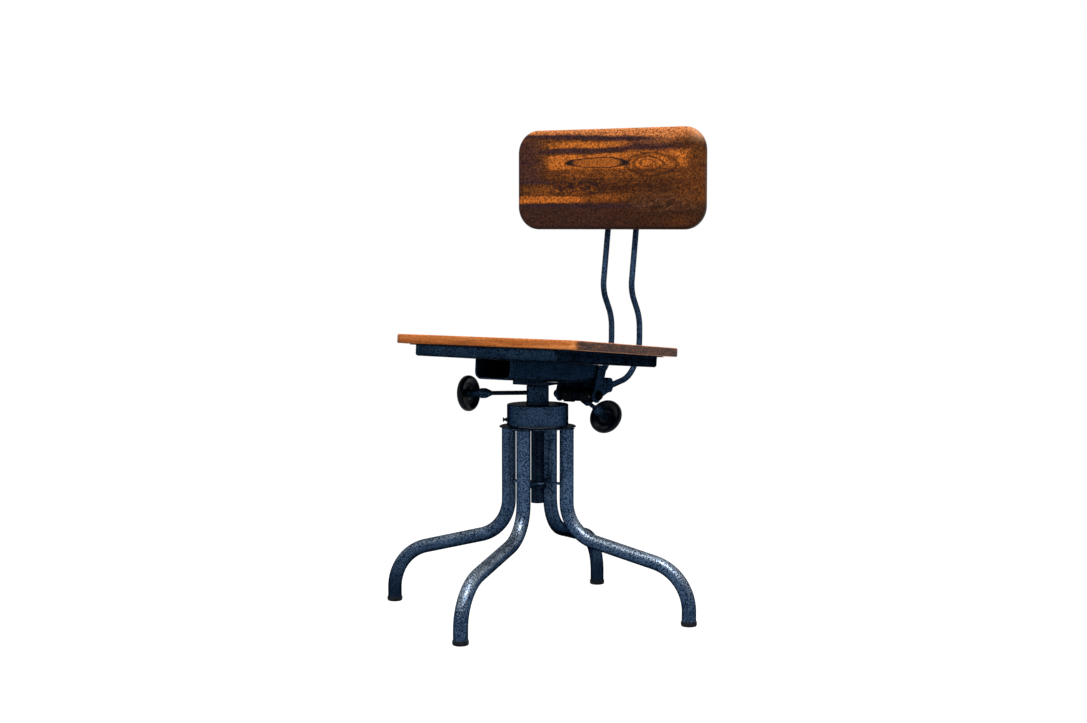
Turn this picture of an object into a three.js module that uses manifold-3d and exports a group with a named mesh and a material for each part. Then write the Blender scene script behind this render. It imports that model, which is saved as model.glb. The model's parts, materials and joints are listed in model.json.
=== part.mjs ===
// A bankers swivel chair: a wooden seat and backrest on a steel base with four bent tube legs.
// Millimetres, +Z up. The chair faces -Y, and +X is the sitter's left.
// The origin is on the floor, under the middle of the chair's box.
// "Back" is a distance behind the column's axis, and "height" is a distance above the floor.

import * as THREE from 'three';
import { mergeVertices } from 'three/addons/utils/BufferGeometryUtils.js';
import Module from 'manifold-3d';

const wasm = await Module();
wasm.setup();
const { degToRad } = THREE.MathUtils;

// Clearances
const seatGap = 0.3; // between pieces that rest on each other
const runningGap = 0.3; // round a piece that turns or slides in another
const overrun = 2; // how far a cut runs past the face that it opens

// Base: four bent tubes welded under a thin flange, with a flat cross brace lower down
const baseTurn = degToRad(6.3); // the base stands turned a little from the seat
const legSkews = [-1.7, 1.5, 1.1, 2.8].map(degToRad); // each leg's own turn: front, left, rear, right
const legTubeRadius = 13.45;
const legTubeWall = 2.3;
const legCircle = 59.5; // of the legs' upright parts
const footCircle = 304;
const ankleHeight = 26.4; // where a leg's lower bend ends, above the floor
const legSlope = degToRad(14.1);
const upperBendRadius = 75;
const lowerBendRadius = 90;
const ferruleHeight = 9.5;
const ferruleFloor = 4;
const ferruleWall = 1.6;
const flangeThickness = 3;
const flangeInset = 0.25; // of its rim from the legs' outer sides
const flangeRimThickness = 1.2;
const flangeRimWidth = 4;
const braceHeight = 249.5;
const braceThickness = 3;
const braceWidth = 16;
const braceHubWall = 8;

// Bearing: a ring of balls between two races, under a wide turning collar
const ballRadius = 5;
const ballCount = 8;
const grooveClearance = 0.5;
const grooveDepth = 2;
const raceHeight = 10;
const raceHalfWidth = 7;
const cageHalfWidth = 4;
const cageThickness = 2.4;
const collarRadius = 58.3;
const collarWall = 8;
const collarLift = 2; // of the collar's rim above the flange
const collarCrown = 14;
const collarChamfer = 1.6;
const collarCoreWall = 9;
const collarCoreDepth = 18;
const nippleRise = 9.7; // above the collar's rim
const nippleStemRadius = 2.6;
const nippleStemLength = 5;
const nippleNeckRadius = 1.9;
const nippleBaseRadius = 4.2;
const nippleHeadRadius = 4.5;
const nippleLength = 7.6;
const nippleTurn = degToRad(211.2);

// Swivel tube, with the spindle of the seat inside it
const spindleRadius = 10;
const spindleFootRise = 14; // above the swivel tube's lower end
const spindleChamfer = 1.5;
const swivelTubeWall = 2.4;
const swivelTubeTail = 37.5; // of the tube below the brace
const swivelTubeTopDrop = 1.5; // of the tube's end in the boss
const retainingNutWall = 4;
const retainingNutHeight = 9;
const bossWall = 8.2;
const bossHeight = 36.1;
const bossShoulder = 5;

// Lock screws, one for the height and one for the back's rake, with like handwheels
const screwRadius = 4.25;
const padRadius = 4;
const padLength = 4;
const heightScrewDrop = 15; // below the boss's top, at the column's axis
const heightScrewDroop = degToRad(3.2);
const heightWheelDistance = 156.7; // from the column's axis to the wheel's middle plane
const rakeScrewSlope = degToRad(25.6);
const rakeWheelDistance = 124.5; // from the cross shaft to the wheel's middle plane
const hubLength = 51.5; // from the hub's tip to the wheel's middle plane
const hubTipRadius = 5.6;
const hubNoseLength = 12;
const hubBulgeRadius = 9.85;
const hubBulgeLength = 10;
const hubShoulderLength = 3;
const hubNeckRadius = 7.2;
const wheelRadius = 35;
const wheelThickness = 13;
const wheelRimWidth = 9;
const wheelRimRound = 4;
const wheelWebThickness = 5;
const wheelBossRadius = 12;
const wheelNutRadius = 8;
const wheelNutHeight = 5;

// Seat: a board on a pressed tray, and a deep channel under the tray
const seatTilt = degToRad(5.3); // the front is the higher end
const seatHeight = 520; // of the board's top, over the column, with the seat right down
const seatHalfWidth = 197;
const seatFront = 193;
const seatRear = 212;
const seatThickness = 17;
const seatCorner = 20;
const seatEdge = 3;
const traySideInset = 46; // of the tray's walls from the board's edges
const trayFrontInset = 4;
const trayRearInset = 5;
const trayDepth = 21.7;
const trayWall = 1.6;
const trayCorner = 8;
const trayFold = 5;
const lipWidth = 15;
const lipSetback = 6; // of a lip's ends from the tray's ends
const seatScrewRadius = 2.2;
const seatScrewLength = 11;
const seatScrewHeadRadius = 4.4;
const seatScrewHeadHeight = 2.6;
const seatScrewSetback = 60; // of a screw from its lip's end
const beamHalfWidth = 39;
const beamWall = 3;
const beamCorner = 14;
const beamFrontInset = 37; // of the beam's ends from the tray's ends
const beamRearInset = 39;
const beamDepth = 37;
const beamTailDepth = 32;
const beamTaperBack = 60;
const headGap = 1; // from the boss to the spindle's head with the seat right down
const headHalfWidth = 37.5;
const headHalfLength = 30;
const headThickness = 5.07; // over the column
const headHubWall = 6.7;
const headBoreDepth = 22;
const headRoof = 6; // over its bore

// Back arm: hangers under the tray, a cross shaft with two coil springs, and a yoke with the rods
const pivotBack = 154;
const pivotDrop = 114; // of the cross shaft below the seat's top, over the column
const hangerThickness = 4.5;
const hangerFrontReach = 6; // of a hanger's top corners behind the cross shaft
const hangerRearReach = 38;
const hangerEndRadius = 14.5;
const hangerCorner = 2;
const shaftRadius = 6;
const shaftNutRadius = 9.5;
const shaftNutThickness = 6;
const shaftEnd = 2; // of the shaft past its nut
const springRadius = 15.4; // over the wire
const springWireRadius = 1.8;
const springTurns = 5.25;
const armHubRadius = 13;
const armHubHalfWidth = 8;
const armCheekThickness = 4.8;
const armCheekEndRadius = 13;
const armBarBack = 54; // of the socket bar's middle behind the cross shaft
const armBarRise = 16.5;
const armBarHalfDepth = 12;
const armBarHalfHeight = 14.5;
const armBarRound = 10;
const armRibHalfWidth = 5;
const rakeBossRadius = 8;
const rakeBossLength = 44; // from the cross shaft's axis

// Rods from the yoke up to the backrest
const rodRadius = 6;
const rodSpacing = 65;
const rodSlope = degToRad(8);
const rodSocketFloor = 3.5; // of metal ahead of a rod's end
const rodSocketWall = 3.2; // beside a rod, at the socket bar's ends
const rodSocketDrop = 5.3; // of a rod's axis below the socket bar's middle
const rodReach = 195; // a reach is behind the cross shaft, and a rise is above it
const rodFootBendRadius = 84;
const rodElbowRise = 144.3;
const rodElbowBendRadius = 70;
const rodKneeReach = 157.2;
const rodKneeRise = 200.4;
const rodKneeBendRadius = 55;
const rodNeckReach = 180.8;
const rodNeckRise = 339;
const rodNeckBendRadius = 60;
const setScrewRadius = 3;

// Backrest: a board on a bracket that pivots on a bar between the rods' tops
const backPivotRise = 414;
const pivotBarRadius = 6;
const pivotSocketWall = 3.7;
const pivotSocketHalfHeight = 13;
const pivotSocketRoof = 4;
const earThickness = 4;
const earOffset = 14; // from the chair's middle to an ear's inner face
const earEndRadius = 11;
const earRootHalfHeight = 20;
const bracketHalfWidth = 46;
const bracketHalfHeight = 30;
const bracketThickness = 3;
const backBoardOffset = 52.8; // from the pivot bar forward to the board's middle plane
const backBoardRise = 10.7;
const backHalfWidth = 213.4;
const backHalfHeight = 101.1;
const backThickness = 19;
const backCorner = 46.8;
const backEdge = 7;
const backScrewInset = 10; // from the bracket's edges
const backScrewRadius = 2.2;
const backScrewLength = 12;
const backScrewHeadRadius = 4.4;
const backScrewHeadHeight = 2.6;

// Facets
const fineSides = 32;
const tubeSides = 24;
const legSides = 16;
const legBoreSides = 8;
const rodSides = 10;
const screwSides = 8;
const hexSides = 6;
const ballRings = 5;
const bendSteps = 7;
const cornerSteps = 5;
const roundSteps = 3;
const grooveSteps = 3;
const wireSides = 5;
const stepsPerTurn = 8;

// Worked-out sizes: radii round the column
const swivelTubeRadius = spindleRadius + runningGap + swivelTubeWall;
const columnBore = swivelTubeRadius + runningGap;
const bossRadius = swivelTubeRadius + seatGap + bossWall;
const retainingNutRadius = swivelTubeRadius + seatGap + retainingNutWall;
const braceHubRadius = columnBore + braceHubWall;
const collarCoreRadius = columnBore + collarCoreWall;
const collarRecess = collarRadius - collarWall;
const raceOuter = collarRecess - seatGap;
const ballCircle = raceOuter - raceHalfWidth;
const headHubRadius = spindleRadius + seatGap + headHubWall;
const flangeRadius = legCircle + legTubeRadius - flangeInset;
const ferruleRadius = legTubeRadius + seatGap + ferruleWall;

// Worked-out sizes: depths below the seat board's top, in the seat's tilted frame
const trayTop = -(seatThickness + seatGap);
const trayBottom = trayTop - trayDepth;
const beamTop = trayBottom - seatGap;
const headTop = beamTop - beamDepth - seatGap;

// Worked-out sizes: heights, from the seat down to the floor
const headBottom = seatHeight + headTop / Math.cos(seatTilt) - headThickness;
const bossTop = headBottom - headGap;
const bossBottom = bossTop - bossHeight;
const collarTop = bossBottom - seatGap;
const collarCeiling = collarTop - collarCrown;
const upperRaceTop = collarCeiling - seatGap;
const upperRaceBottom = upperRaceTop - raceHeight;
const ballHeight = upperRaceBottom + grooveDepth - grooveClearance - ballRadius;
const lowerRaceTop = ballHeight - ballRadius - grooveClearance + grooveDepth;
const lowerRaceBottom = lowerRaceTop - raceHeight;
const flangeTop = lowerRaceBottom - seatGap;
const flangeHeight = flangeTop - flangeThickness;
const collarBottom = flangeTop + collarLift;
const legTop = flangeHeight - seatGap;
const heightScrewHeight = bossTop - heightScrewDrop;
const braceTop = braceHeight + braceThickness;
const swivelTubeFoot = braceHeight - swivelTubeTail;
const spindleFoot = swivelTubeFoot + spindleFootRise;
const footCorner = ankleHeight + lowerBendRadius * Math.tan(Math.PI / 4 - legSlope / 2);
const spreadHeight = footCorner + (footCircle - legCircle) * Math.tan(legSlope);

// Worked-out sizes: under the seat
const trayHalfWidth = seatHalfWidth - traySideInset;
const trayFront = seatFront - trayFrontInset;
const trayRear = seatRear - trayRearInset;
const beamFront = trayFront - beamFrontInset;
const beamRear = trayRear - beamRearInset;
const hangerInner = beamHalfWidth + seatGap;
const hangerOuter = hangerInner + hangerThickness;
const armHalfWidth = hangerInner - 2 * runningGap;
const armCheekInner = armHalfWidth - armCheekThickness;
const springStart = armHubHalfWidth + runningGap;
const springEnd = armCheekInner - runningGap;
const shaftHalfLength = hangerOuter + seatGap + shaftNutThickness + shaftEnd;

// Worked-out sizes: the back arm, the rods and the backrest
const screwBore = screwRadius + runningGap;
const pivotHeight = seatHeight - pivotDrop;
const armBarHalfWidth = rodSpacing / 2 + rodRadius + seatGap + rodSocketWall;
const rodFootHeight = pivotHeight + armBarRise - rodSocketDrop;
const rodBack = pivotBack + rodReach;
const rodNeckBack = pivotBack + rodNeckReach;
const backPivotHeight = pivotHeight + backPivotRise;
const pivotSocketRadius = rodRadius + seatGap + pivotSocketWall;
const backBoardBack = -backBoardOffset + backThickness / 2; // the board's rear face, from the pivot
const frontReach = footCircle * Math.cos(baseTurn + legSkews[0]) + ferruleRadius;
const rearReach = rodBack + rodRadius;

// Materials
const finish = (color, roughness, metalness) => new THREE.MeshStandardMaterial(
  { color, roughness, metalness },
);
const paint = () => finish(0x27384f, 0.42, 0.35);
const darkPaint = () => finish(0x1a2431, 0.5, 0.35);
const brightSteel = () => finish(0x8c9096, 0.35, 0.9);
const brass = () => finish(0xb08d4a, 0.35, 0.9);
const springSteel = () => finish(0x1d1c20, 0.45, 0.7);
const blackPlastic = () => finish(0x0c0d10, 0.25, 0.0);
const rubber = () => finish(0x141415, 0.8, 0.0);
const seatWood = () => finish(0xa8622c, 0.4, 0.0);
const backWood = () => finish(0x6b3417, 0.35, 0.0);

// Meshes in and out of the solid library
function clean(geometry) {
  const bare = geometry.clone();
  bare.deleteAttribute('normal');
  bare.deleteAttribute('uv');
  const merged = mergeVertices(bare);
  const kept = [];
  for (let i = 0; i < merged.index.count; i += 3) {
    const corners = [0, 1, 2].map((k) => merged.index.getX(i + k));
    if (new Set(corners).size === 3) kept.push(...corners);
  }
  merged.setIndex(kept);
  return merged;
}

function solidOf(geometry) {
  const merged = clean(geometry);
  const vertProperties = new Float32Array(merged.attributes.position.array);
  const triVerts = new Uint32Array(merged.index.array);
  if (signedVolume(vertProperties, triVerts) < 0) {
    for (let i = 0; i < triVerts.length; i += 3) {
      [triVerts[i], triVerts[i + 1]] = [triVerts[i + 1], triVerts[i]];
    }
  }
  return new wasm.Manifold(new wasm.Mesh({ numProp: 3, vertProperties, triVerts }));
}

function signedVolume(points, triangles) {
  const corner = (i) => new THREE.Vector3().fromArray(points, 3 * i);
  let total = 0;
  for (let i = 0; i < triangles.length; i += 3) {
    const [a, b, c] = [0, 1, 2].map((k) => corner(triangles[i + k]));
    total += a.dot(b.cross(c));
  }
  return total / 6;
}

function geometryOf(solid) {
  const mesh = solid.getMesh();
  const positions = [];
  for (let i = 0; i < mesh.vertProperties.length; i += mesh.numProp) {
    positions.push(...mesh.vertProperties.slice(i, i + 3));
  }
  const geometry = new THREE.BufferGeometry();
  geometry.setAttribute('position', new THREE.Float32BufferAttribute(positions, 3));
  geometry.setIndex([...mesh.triVerts]);
  return geometry;
}

function join(...geometries) {
  return geometryOf(geometries.map(solidOf).reduce((a, b) => a.add(b)));
}

function cut(geometry, ...cutters) {
  return geometryOf(cutters.map(solidOf).reduce((a, b) => a.subtract(b), solidOf(geometry)));
}

// Shapes
const point = (x, y) => new THREE.Vector2(x, y);

// A round piece about the Z axis, from a profile of radius and height that may run either way round.
function turned(profile, sides) {
  const points = profile.map(([radius, height]) => point(radius, height));
  if (THREE.ShapeUtils.area(points) < 0) points.reverse();
  return new THREE.LatheGeometry(points, sides).rotateX(Math.PI / 2);
}

// A ring or tube about the Z axis.
function ring(inner, outer, bottom, top, sides) {
  return turned([[inner, bottom], [outer, bottom], [outer, top], [inner, top], [inner, bottom]], sides);
}

// A round bar along the Z axis.
function bar(radius, bottom, top, sides) {
  return turned([[0, bottom], [radius, bottom], [radius, top], [0, top]], sides);
}

// A six-sided nut along the Z axis, over a round bar.
function nut(barRadius, outer, bottom, top) {
  const hole = bar(barRadius + seatGap, bottom - overrun, top + overrun, tubeSides);
  return cut(bar(outer, bottom, top, hexSides), hole);
}

// Points on a circle's arc, as pairs.
function arc(cx, cy, radius, from, to, steps) {
  return Array.from({ length: steps + 1 }, (unused, i) => {
    const angle = from + ((to - from) * i) / steps;
    return [cx + radius * Math.cos(angle), cy + radius * Math.sin(angle)];
  });
}

// A flat plate whose outline is drawn in Y and Z, from one X to another.
function slab(outline, left, right) {
  const shape = new THREE.Shape(outline.map(([y, z]) => point(y, z)));
  const geometry = new THREE.ExtrudeGeometry(shape, { depth: right - left, bevelEnabled: false });
  const [x, y, z] = [new THREE.Vector3(1, 0, 0), new THREE.Vector3(0, 1, 0), new THREE.Vector3(0, 0, 1)];
  return geometry.applyMatrix4(new THREE.Matrix4().makeBasis(y, z, x)).translate(left, 0, 0);
}

// The convex outline round several circles, each given as [y, z, radius].
function hullOfCircles(circles, steps) {
  const points = circles.flatMap(([y, z, radius]) => arc(y, z, radius, 0, 2 * Math.PI, steps).slice(1));
  points.sort((a, b) => a[0] - b[0] || a[1] - b[1]);
  const turns = (o, a, b) => (a[0] - o[0]) * (b[1] - o[1]) - (a[1] - o[1]) * (b[0] - o[0]);
  const chain = (list) => {
    const out = [];
    for (const p of list) {
      while (out.length > 1 && turns(out.at(-2), out.at(-1), p) <= 0) out.pop();
      out.push(p);
    }
    return out.slice(0, -1);
  };
  return [...chain(points), ...chain([...points].reverse())];
}

// A rectangle with round corners, as [x, y] pairs, drawn in by an inset.
function roundedRectangle(halfWidth, low, high, corner, inset) {
  const radius = corner - inset;
  const centres = [
    [halfWidth - corner, low + corner, -Math.PI / 2],
    [halfWidth - corner, high - corner, 0],
    [-halfWidth + corner, high - corner, Math.PI / 2],
    [-halfWidth + corner, low + corner, Math.PI],
  ];
  return centres.flatMap(([x, y, from]) => arc(x, y, radius, from, from + Math.PI / 2, cornerSteps));
}

// A solid through outlines of the same number of points, one above another.
function stacked(levels) {
  const count = levels[0].outline.length;
  const positions = levels.flatMap(({ outline, z }) => outline.flatMap(([x, y]) => [x, y, z]));
  const faces = [];
  for (let level = 0; level + 1 < levels.length; level += 1) {
    for (let i = 0; i < count; i += 1) {
      const a = level * count + i;
      const b = level * count + ((i + 1) % count);
      faces.push(a, b, b + count, a, b + count, a + count);
    }
  }
  const capOf = (level) => THREE.ShapeUtils.triangulateShape(
    levels[level].outline.map(([x, y]) => point(x, y)),
    [],
  );
  const top = (levels.length - 1) * count;
  for (const [a, b, c] of capOf(0)) faces.push(c, b, a);
  for (const [a, b, c] of capOf(levels.length - 1)) faces.push(top + a, top + b, top + c);
  const geometry = new THREE.BufferGeometry();
  geometry.setAttribute('position', new THREE.Float32BufferAttribute(positions, 3));
  geometry.setIndex(faces);
  return geometry;
}

// A board with rounded upper and lower edges.
function board(halfWidth, low, high, corner, edge, thickness) {
  const outline = (inset) => roundedRectangle(halfWidth, low, high, corner, inset);
  const easeShares = [[1, 0], [0.3, 0.3], [0, 1]]; // inset and depth, as shares of the edge's radius
  const levels = easeShares.map(([inset, depth]) => ({ outline: outline(inset * edge), z: depth * edge }));
  const upper = [...levels].reverse().map((level) => ({ ...level, z: thickness - level.z }));
  return stacked([...levels, ...upper]);
}

// A path of straight lines with round bends at its inner corners.
class BentPath extends THREE.Curve {
  constructor(corners, radii) {
    super();
    this.pieces = [];
    let start = corners[0];
    corners.slice(1, -1).forEach((corner, i) => {
      const before = corners[i].clone().sub(corner).normalize();
      const after = corners[i + 2].clone().sub(corner).normalize();
      const half = before.angleTo(after) / 2;
      const reach = radii[i] / Math.tan(half);
      const from = corner.clone().addScaledVector(before, reach);
      const to = corner.clone().addScaledVector(after, reach);
      const inward = before.clone().add(after).normalize();
      const centre = corner.clone().addScaledVector(inward, radii[i] / Math.sin(half));
      this.addLine(start, from);
      this.addBend(centre, from, to);
      start = to;
    });
    this.addLine(start, corners.at(-1));
    this.steps = this.pieces.length;
  }

  addLine(from, to) {
    this.pieces.push((share) => from.clone().lerp(to, share));
  }

  addBend(centre, from, to) {
    const a = from.clone().sub(centre);
    const b = to.clone().sub(centre);
    const angle = a.angleTo(b);
    const across = b.clone().addScaledVector(a, -Math.cos(angle)).divideScalar(Math.sin(angle));
    for (let i = 0; i < bendSteps; i += 1) {
      this.pieces.push((share) => {
        const turn = (angle * (i + share)) / bendSteps;
        return centre.clone().addScaledVector(a, Math.cos(turn)).addScaledVector(across, Math.sin(turn));
      });
    }
  }

  getPoint(t, target = new THREE.Vector3()) {
    const at = t * this.steps;
    const i = Math.min(Math.max(Math.floor(at), 0), this.steps - 1);
    return target.copy(this.pieces[i](at - i));
  }

  getUtoTmapping(u) {
    return u;
  }
}

function polygon(radius, sides) {
  return Array.from({ length: sides }, (unused, i) => {
    const angle = (2 * Math.PI * i) / sides;
    return point(radius * Math.cos(angle), radius * Math.sin(angle));
  });
}

function bentTube(path, radius, sides, bore, boreSides) {
  const shape = new THREE.Shape(polygon(radius, sides));
  if (bore) shape.holes.push(new THREE.Path(polygon(bore, boreSides)));
  return new THREE.ExtrudeGeometry(shape, { steps: path.steps, extrudePath: path, bevelEnabled: false });
}

// A coil about the X axis.
class Coil extends THREE.Curve {
  constructor(start, end, radius, turns) {
    super();
    Object.assign(this, { start, end, radius, turns });
  }

  getPoint(t, target = new THREE.Vector3()) {
    const angle = 2 * Math.PI * this.turns * t;
    const x = this.start + (this.end - this.start) * t;
    return target.set(x, this.radius * Math.cos(angle), this.radius * Math.sin(angle));
  }
}

// The least distance between the surfaces of a coil's neighbouring turns, taken on points of it.
function leastCoilGap(coil, wireRadius) {
  const count = coil.turns * stepsPerTurn;
  const points = coil.getPoints(count);
  let least = Infinity;
  for (let i = 0; i < points.length; i += 1) {
    for (let j = i + stepsPerTurn / 2; j < points.length; j += 1) {
      least = Math.min(least, points[i].distanceTo(points[j]));
    }
  }
  return least - 2 * wireRadius;
}

// Adds a named mesh to a group.
function add(group, name, geometry, material) {
  const mesh = new THREE.Mesh(clean(geometry), material);
  mesh.name = name;
  group.add(mesh);
  return mesh;
}

function groupIn(parent, name) {
  const group = new THREE.Group();
  group.name = name;
  parent.add(group);
  return group;
}

// The legs stand in the base's frame, each with its own +X pointing outwards.
const legNames = ['front', 'left', 'rear', 'right'];
const legTurn = (i) => ((i - 1) * Math.PI) / 2 + legSkews[i];

function leg() {
  const corners = [
    new THREE.Vector3(legCircle, 0, legTop),
    new THREE.Vector3(legCircle, 0, spreadHeight),
    new THREE.Vector3(footCircle, 0, footCorner),
    new THREE.Vector3(footCircle, 0, ferruleFloor + seatGap),
  ];
  const path = new BentPath(corners, [upperBendRadius, lowerBendRadius]);
  return bentTube(path, legTubeRadius, legSides, legTubeRadius - legTubeWall, legBoreSides);
}

function ferrule() {
  const mouth = legTubeRadius + seatGap;
  const profile = [
    [0, 0], [ferruleRadius - ferruleWall / 2, 0],
    [ferruleRadius, ferruleFloor], [ferruleRadius, ferruleHeight],
    [mouth, ferruleHeight], [mouth, ferruleFloor], [0, ferruleFloor],
  ];
  return turned(profile, legSides).rotateZ(Math.PI / legSides).translate(footCircle, 0, 0);
}

function flange() {
  const rim = flangeRadius - flangeRimWidth;
  const profile = [
    [columnBore, flangeHeight], [rim, flangeHeight], [flangeRadius, flangeTop - flangeRimThickness],
    [flangeRadius, flangeTop], [columnBore, flangeTop], [columnBore, flangeHeight],
  ];
  return turned(profile, fineSides);
}

function brace() {
  const reach = legCircle;
  const barOutline = (halfWidth) => [
    [-halfWidth, braceHeight], [halfWidth, braceHeight], [halfWidth, braceTop], [-halfWidth, braceTop],
  ];
  const across = slab(barOutline(braceWidth / 2), -reach, reach);
  const along = across.clone().rotateZ(Math.PI / 2);
  const hub = bar(braceHubRadius, braceHeight, braceTop, tubeSides);
  const bore = bar(columnBore, braceHeight - overrun, braceTop + overrun, tubeSides);
  const saddles = legNames.map((name, i) => bar(
    legTubeRadius + seatGap,
    braceHeight - overrun,
    braceTop + overrun,
    legSides,
  ).translate(legCircle, 0, 0).rotateZ(legTurn(i)));
  return cut(join(across, along, hub), bore, ...saddles);
}

// A race has one flat face and one with a groove for the balls.
function race(flat, grooved, outer) {
  const grooveRadius = ballRadius + grooveClearance;
  const rise = ballHeight - grooved;
  const half = Math.acos(Math.abs(rise) / grooveRadius);
  const middle = (-Math.sign(rise) * Math.PI) / 2;
  const inward = middle + Math.sign(middle) * half;
  const outward = middle - Math.sign(middle) * half;
  const groove = arc(ballCircle, ballHeight, grooveRadius, inward, outward, grooveSteps);
  const inner = ballCircle - raceHalfWidth;
  const profile = [
    [inner, flat], [inner, grooved], ...groove,
    [outer, grooved], [outer, flat], [inner, flat],
  ];
  return turned(profile, tubeSides);
}

function ballCage() {
  const low = ballHeight - cageThickness / 2;
  const [inner, outer] = [ballCircle - cageHalfWidth, ballCircle + cageHalfWidth];
  const cage = ring(inner, outer, low, low + cageThickness, tubeSides);
  const ball = new THREE.SphereGeometry(ballRadius, screwSides, ballRings).rotateX(Math.PI / 2);
  const balls = Array.from({ length: ballCount }, (unused, i) => ball
    .clone()
    .translate(ballCircle, 0, ballHeight)
    .rotateZ((2 * Math.PI * i) / ballCount));
  return join(cage, ...balls);
}

function collar() {
  const coreBottom = collarCeiling - collarCoreDepth;
  const profile = [
    [collarRecess, collarBottom], [collarRadius, collarBottom], [collarRadius, collarTop - collarChamfer],
    [collarRadius - collarChamfer, collarTop], [columnBore, collarTop], [columnBore, coreBottom],
    [collarCoreRadius, coreBottom], [collarCoreRadius, collarCeiling], [collarRecess, collarCeiling],
    [collarRecess, collarBottom],
  ];
  const stemHole = alongX(bar(
    nippleStemRadius + seatGap,
    collarRadius - nippleStemLength - seatGap,
    collarRadius + overrun,
    screwSides,
  ));
  return cut(turned(profile, fineSides), placeNipple(stemHole));
}

// Turns a piece that is drawn along +Z so that it lies along +X.
function alongX(geometry) {
  return geometry.rotateY(Math.PI / 2);
}

function placeNipple(geometry) {
  return geometry.rotateZ(nippleTurn).translate(0, 0, collarBottom + nippleRise);
}

function nipple() {
  const foot = collarRadius + seatGap;
  const neckShare = 0.5;
  const profile = [
    [0, foot - nippleStemLength], [nippleStemRadius, foot - nippleStemLength], [nippleStemRadius, foot],
    [nippleBaseRadius, foot], [nippleNeckRadius, foot + nippleLength * neckShare],
    [nippleHeadRadius, foot + nippleLength], [0, foot + nippleLength],
  ];
  return placeNipple(alongX(turned(profile, screwSides)));
}

// The height screw leaves the column to the sitter's right and droops a little.
function placeHeightScrew(geometry) {
  return geometry.rotateY(-Math.PI / 2 - heightScrewDroop).translate(0, 0, heightScrewHeight);
}

function heightScrewHole() {
  return placeHeightScrew(bar(screwBore, 0, bossRadius + overrun, tubeSides));
}

function swivelTube() {
  const top = bossTop - swivelTubeTopDrop;
  const tube = ring(spindleRadius + runningGap, swivelTubeRadius, swivelTubeFoot, top, tubeSides);
  return cut(tube, heightScrewHole());
}

function clampBoss() {
  const [x, z] = [bossRadius - bossShoulder, bossTop - bossShoulder];
  const shoulder = arc(x, z, bossShoulder, 0, Math.PI / 2, roundSteps);
  const bore = swivelTubeRadius + seatGap;
  const profile = [
    [bore, bossBottom], [bossRadius, bossBottom], ...shoulder,
    [bore, bossTop], [bore, bossBottom],
  ];
  return cut(turned(profile, tubeSides), heightScrewHole());
}

function retainingNut() {
  const top = braceHeight - runningGap;
  return ring(swivelTubeRadius + seatGap, retainingNutRadius, top - retainingNutHeight, top, tubeSides);
}

function spindle() {
  const top = headBottom + headBoreDepth - seatGap;
  const profile = [
    [0, spindleFoot], [spindleRadius - spindleChamfer, spindleFoot],
    [spindleRadius, spindleFoot + spindleChamfer], [spindleRadius, top], [0, top],
  ];
  return turned(profile, tubeSides);
}

// Pieces of a lock screw, drawn along +Z from the middle of what the screw presses on.
function lockPad(pressedRadius) {
  const start = pressedRadius + seatGap;
  return bar(padRadius, start, start + padLength, screwSides);
}

function lockScrew(pressedRadius, wheelDistance) {
  const start = pressedRadius + padLength + 2 * seatGap;
  return bar(screwRadius, start, wheelDistance + wheelThickness / 2 + wheelNutHeight, rodSides);
}

function lockHub(wheelDistance) {
  const tip = wheelDistance - hubLength;
  const end = wheelDistance - wheelWebThickness / 2 - seatGap;
  const bore = screwRadius + seatGap;
  const bulgeStart = tip + hubNoseLength;
  const bulgeEnd = bulgeStart + hubBulgeLength;
  const profile = [
    [bore, tip], [hubTipRadius, tip], [hubBulgeRadius, bulgeStart], [hubBulgeRadius, bulgeEnd],
    [hubNeckRadius, bulgeEnd + hubShoulderLength], [hubNeckRadius, end], [bore, end], [bore, tip],
  ];
  return turned(profile, tubeSides);
}

function handwheel(wheelDistance) {
  const half = wheelThickness / 2;
  const web = wheelWebThickness / 2;
  const bore = screwRadius + seatGap;
  const rimInner = wheelRadius - wheelRimWidth;
  const low = wheelRadius - wheelRimRound;
  const profile = [
    [bore, -web], [rimInner, -web],
    [rimInner, -half + wheelRimRound / 2], [rimInner + wheelRimRound / 2, -half],
    ...arc(low, -half + wheelRimRound, wheelRimRound, -Math.PI / 2, 0, roundSteps),
    ...arc(low, half - wheelRimRound, wheelRimRound, 0, Math.PI / 2, roundSteps),
    [wheelBossRadius, half], [bore, half], [bore, -web],
  ];
  return turned(profile, tubeSides).translate(0, 0, wheelDistance);
}

function wheelNut(wheelDistance) {
  const start = wheelDistance + wheelThickness / 2 + seatGap;
  return nut(screwRadius, wheelNutRadius, start, start + wheelNutHeight);
}

// Seat pieces, drawn in the seat's tilted frame with the board's top at zero height
function seatBoard() {
  const [low, high] = [trayTop - overrun, trayTop + seatScrewLength];
  const pilot = (x, y) => bar(seatScrewRadius + seatGap, low, high, screwSides).translate(x, y, 0);
  const shape = board(seatHalfWidth, -seatFront, seatRear, seatCorner, seatEdge, seatThickness);
  return cut(shape.translate(0, 0, -seatThickness), ...seatScrewPlaces().map(([x, y]) => pilot(x, y)));
}

function seatScrewPlaces() {
  const x = trayHalfWidth + lipWidth / 2;
  const front = -trayFront + lipSetback + seatScrewSetback;
  const rear = trayRear - lipSetback - seatScrewSetback;
  return [[-x, front], [x, front], [-x, rear], [x, rear]];
}

function seatScrew() {
  const seat = trayTop - trayWall - seatGap;
  const profile = [
    [0, seat - seatScrewHeadHeight], [seatScrewHeadRadius / 2, seat - seatScrewHeadHeight],
    [seatScrewHeadRadius, seat], [seatScrewRadius, seat],
    [seatScrewRadius, trayTop + seatScrewLength - seatGap], [0, trayTop + seatScrewLength - seatGap],
  ];
  return turned(profile, screwSides);
}

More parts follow.
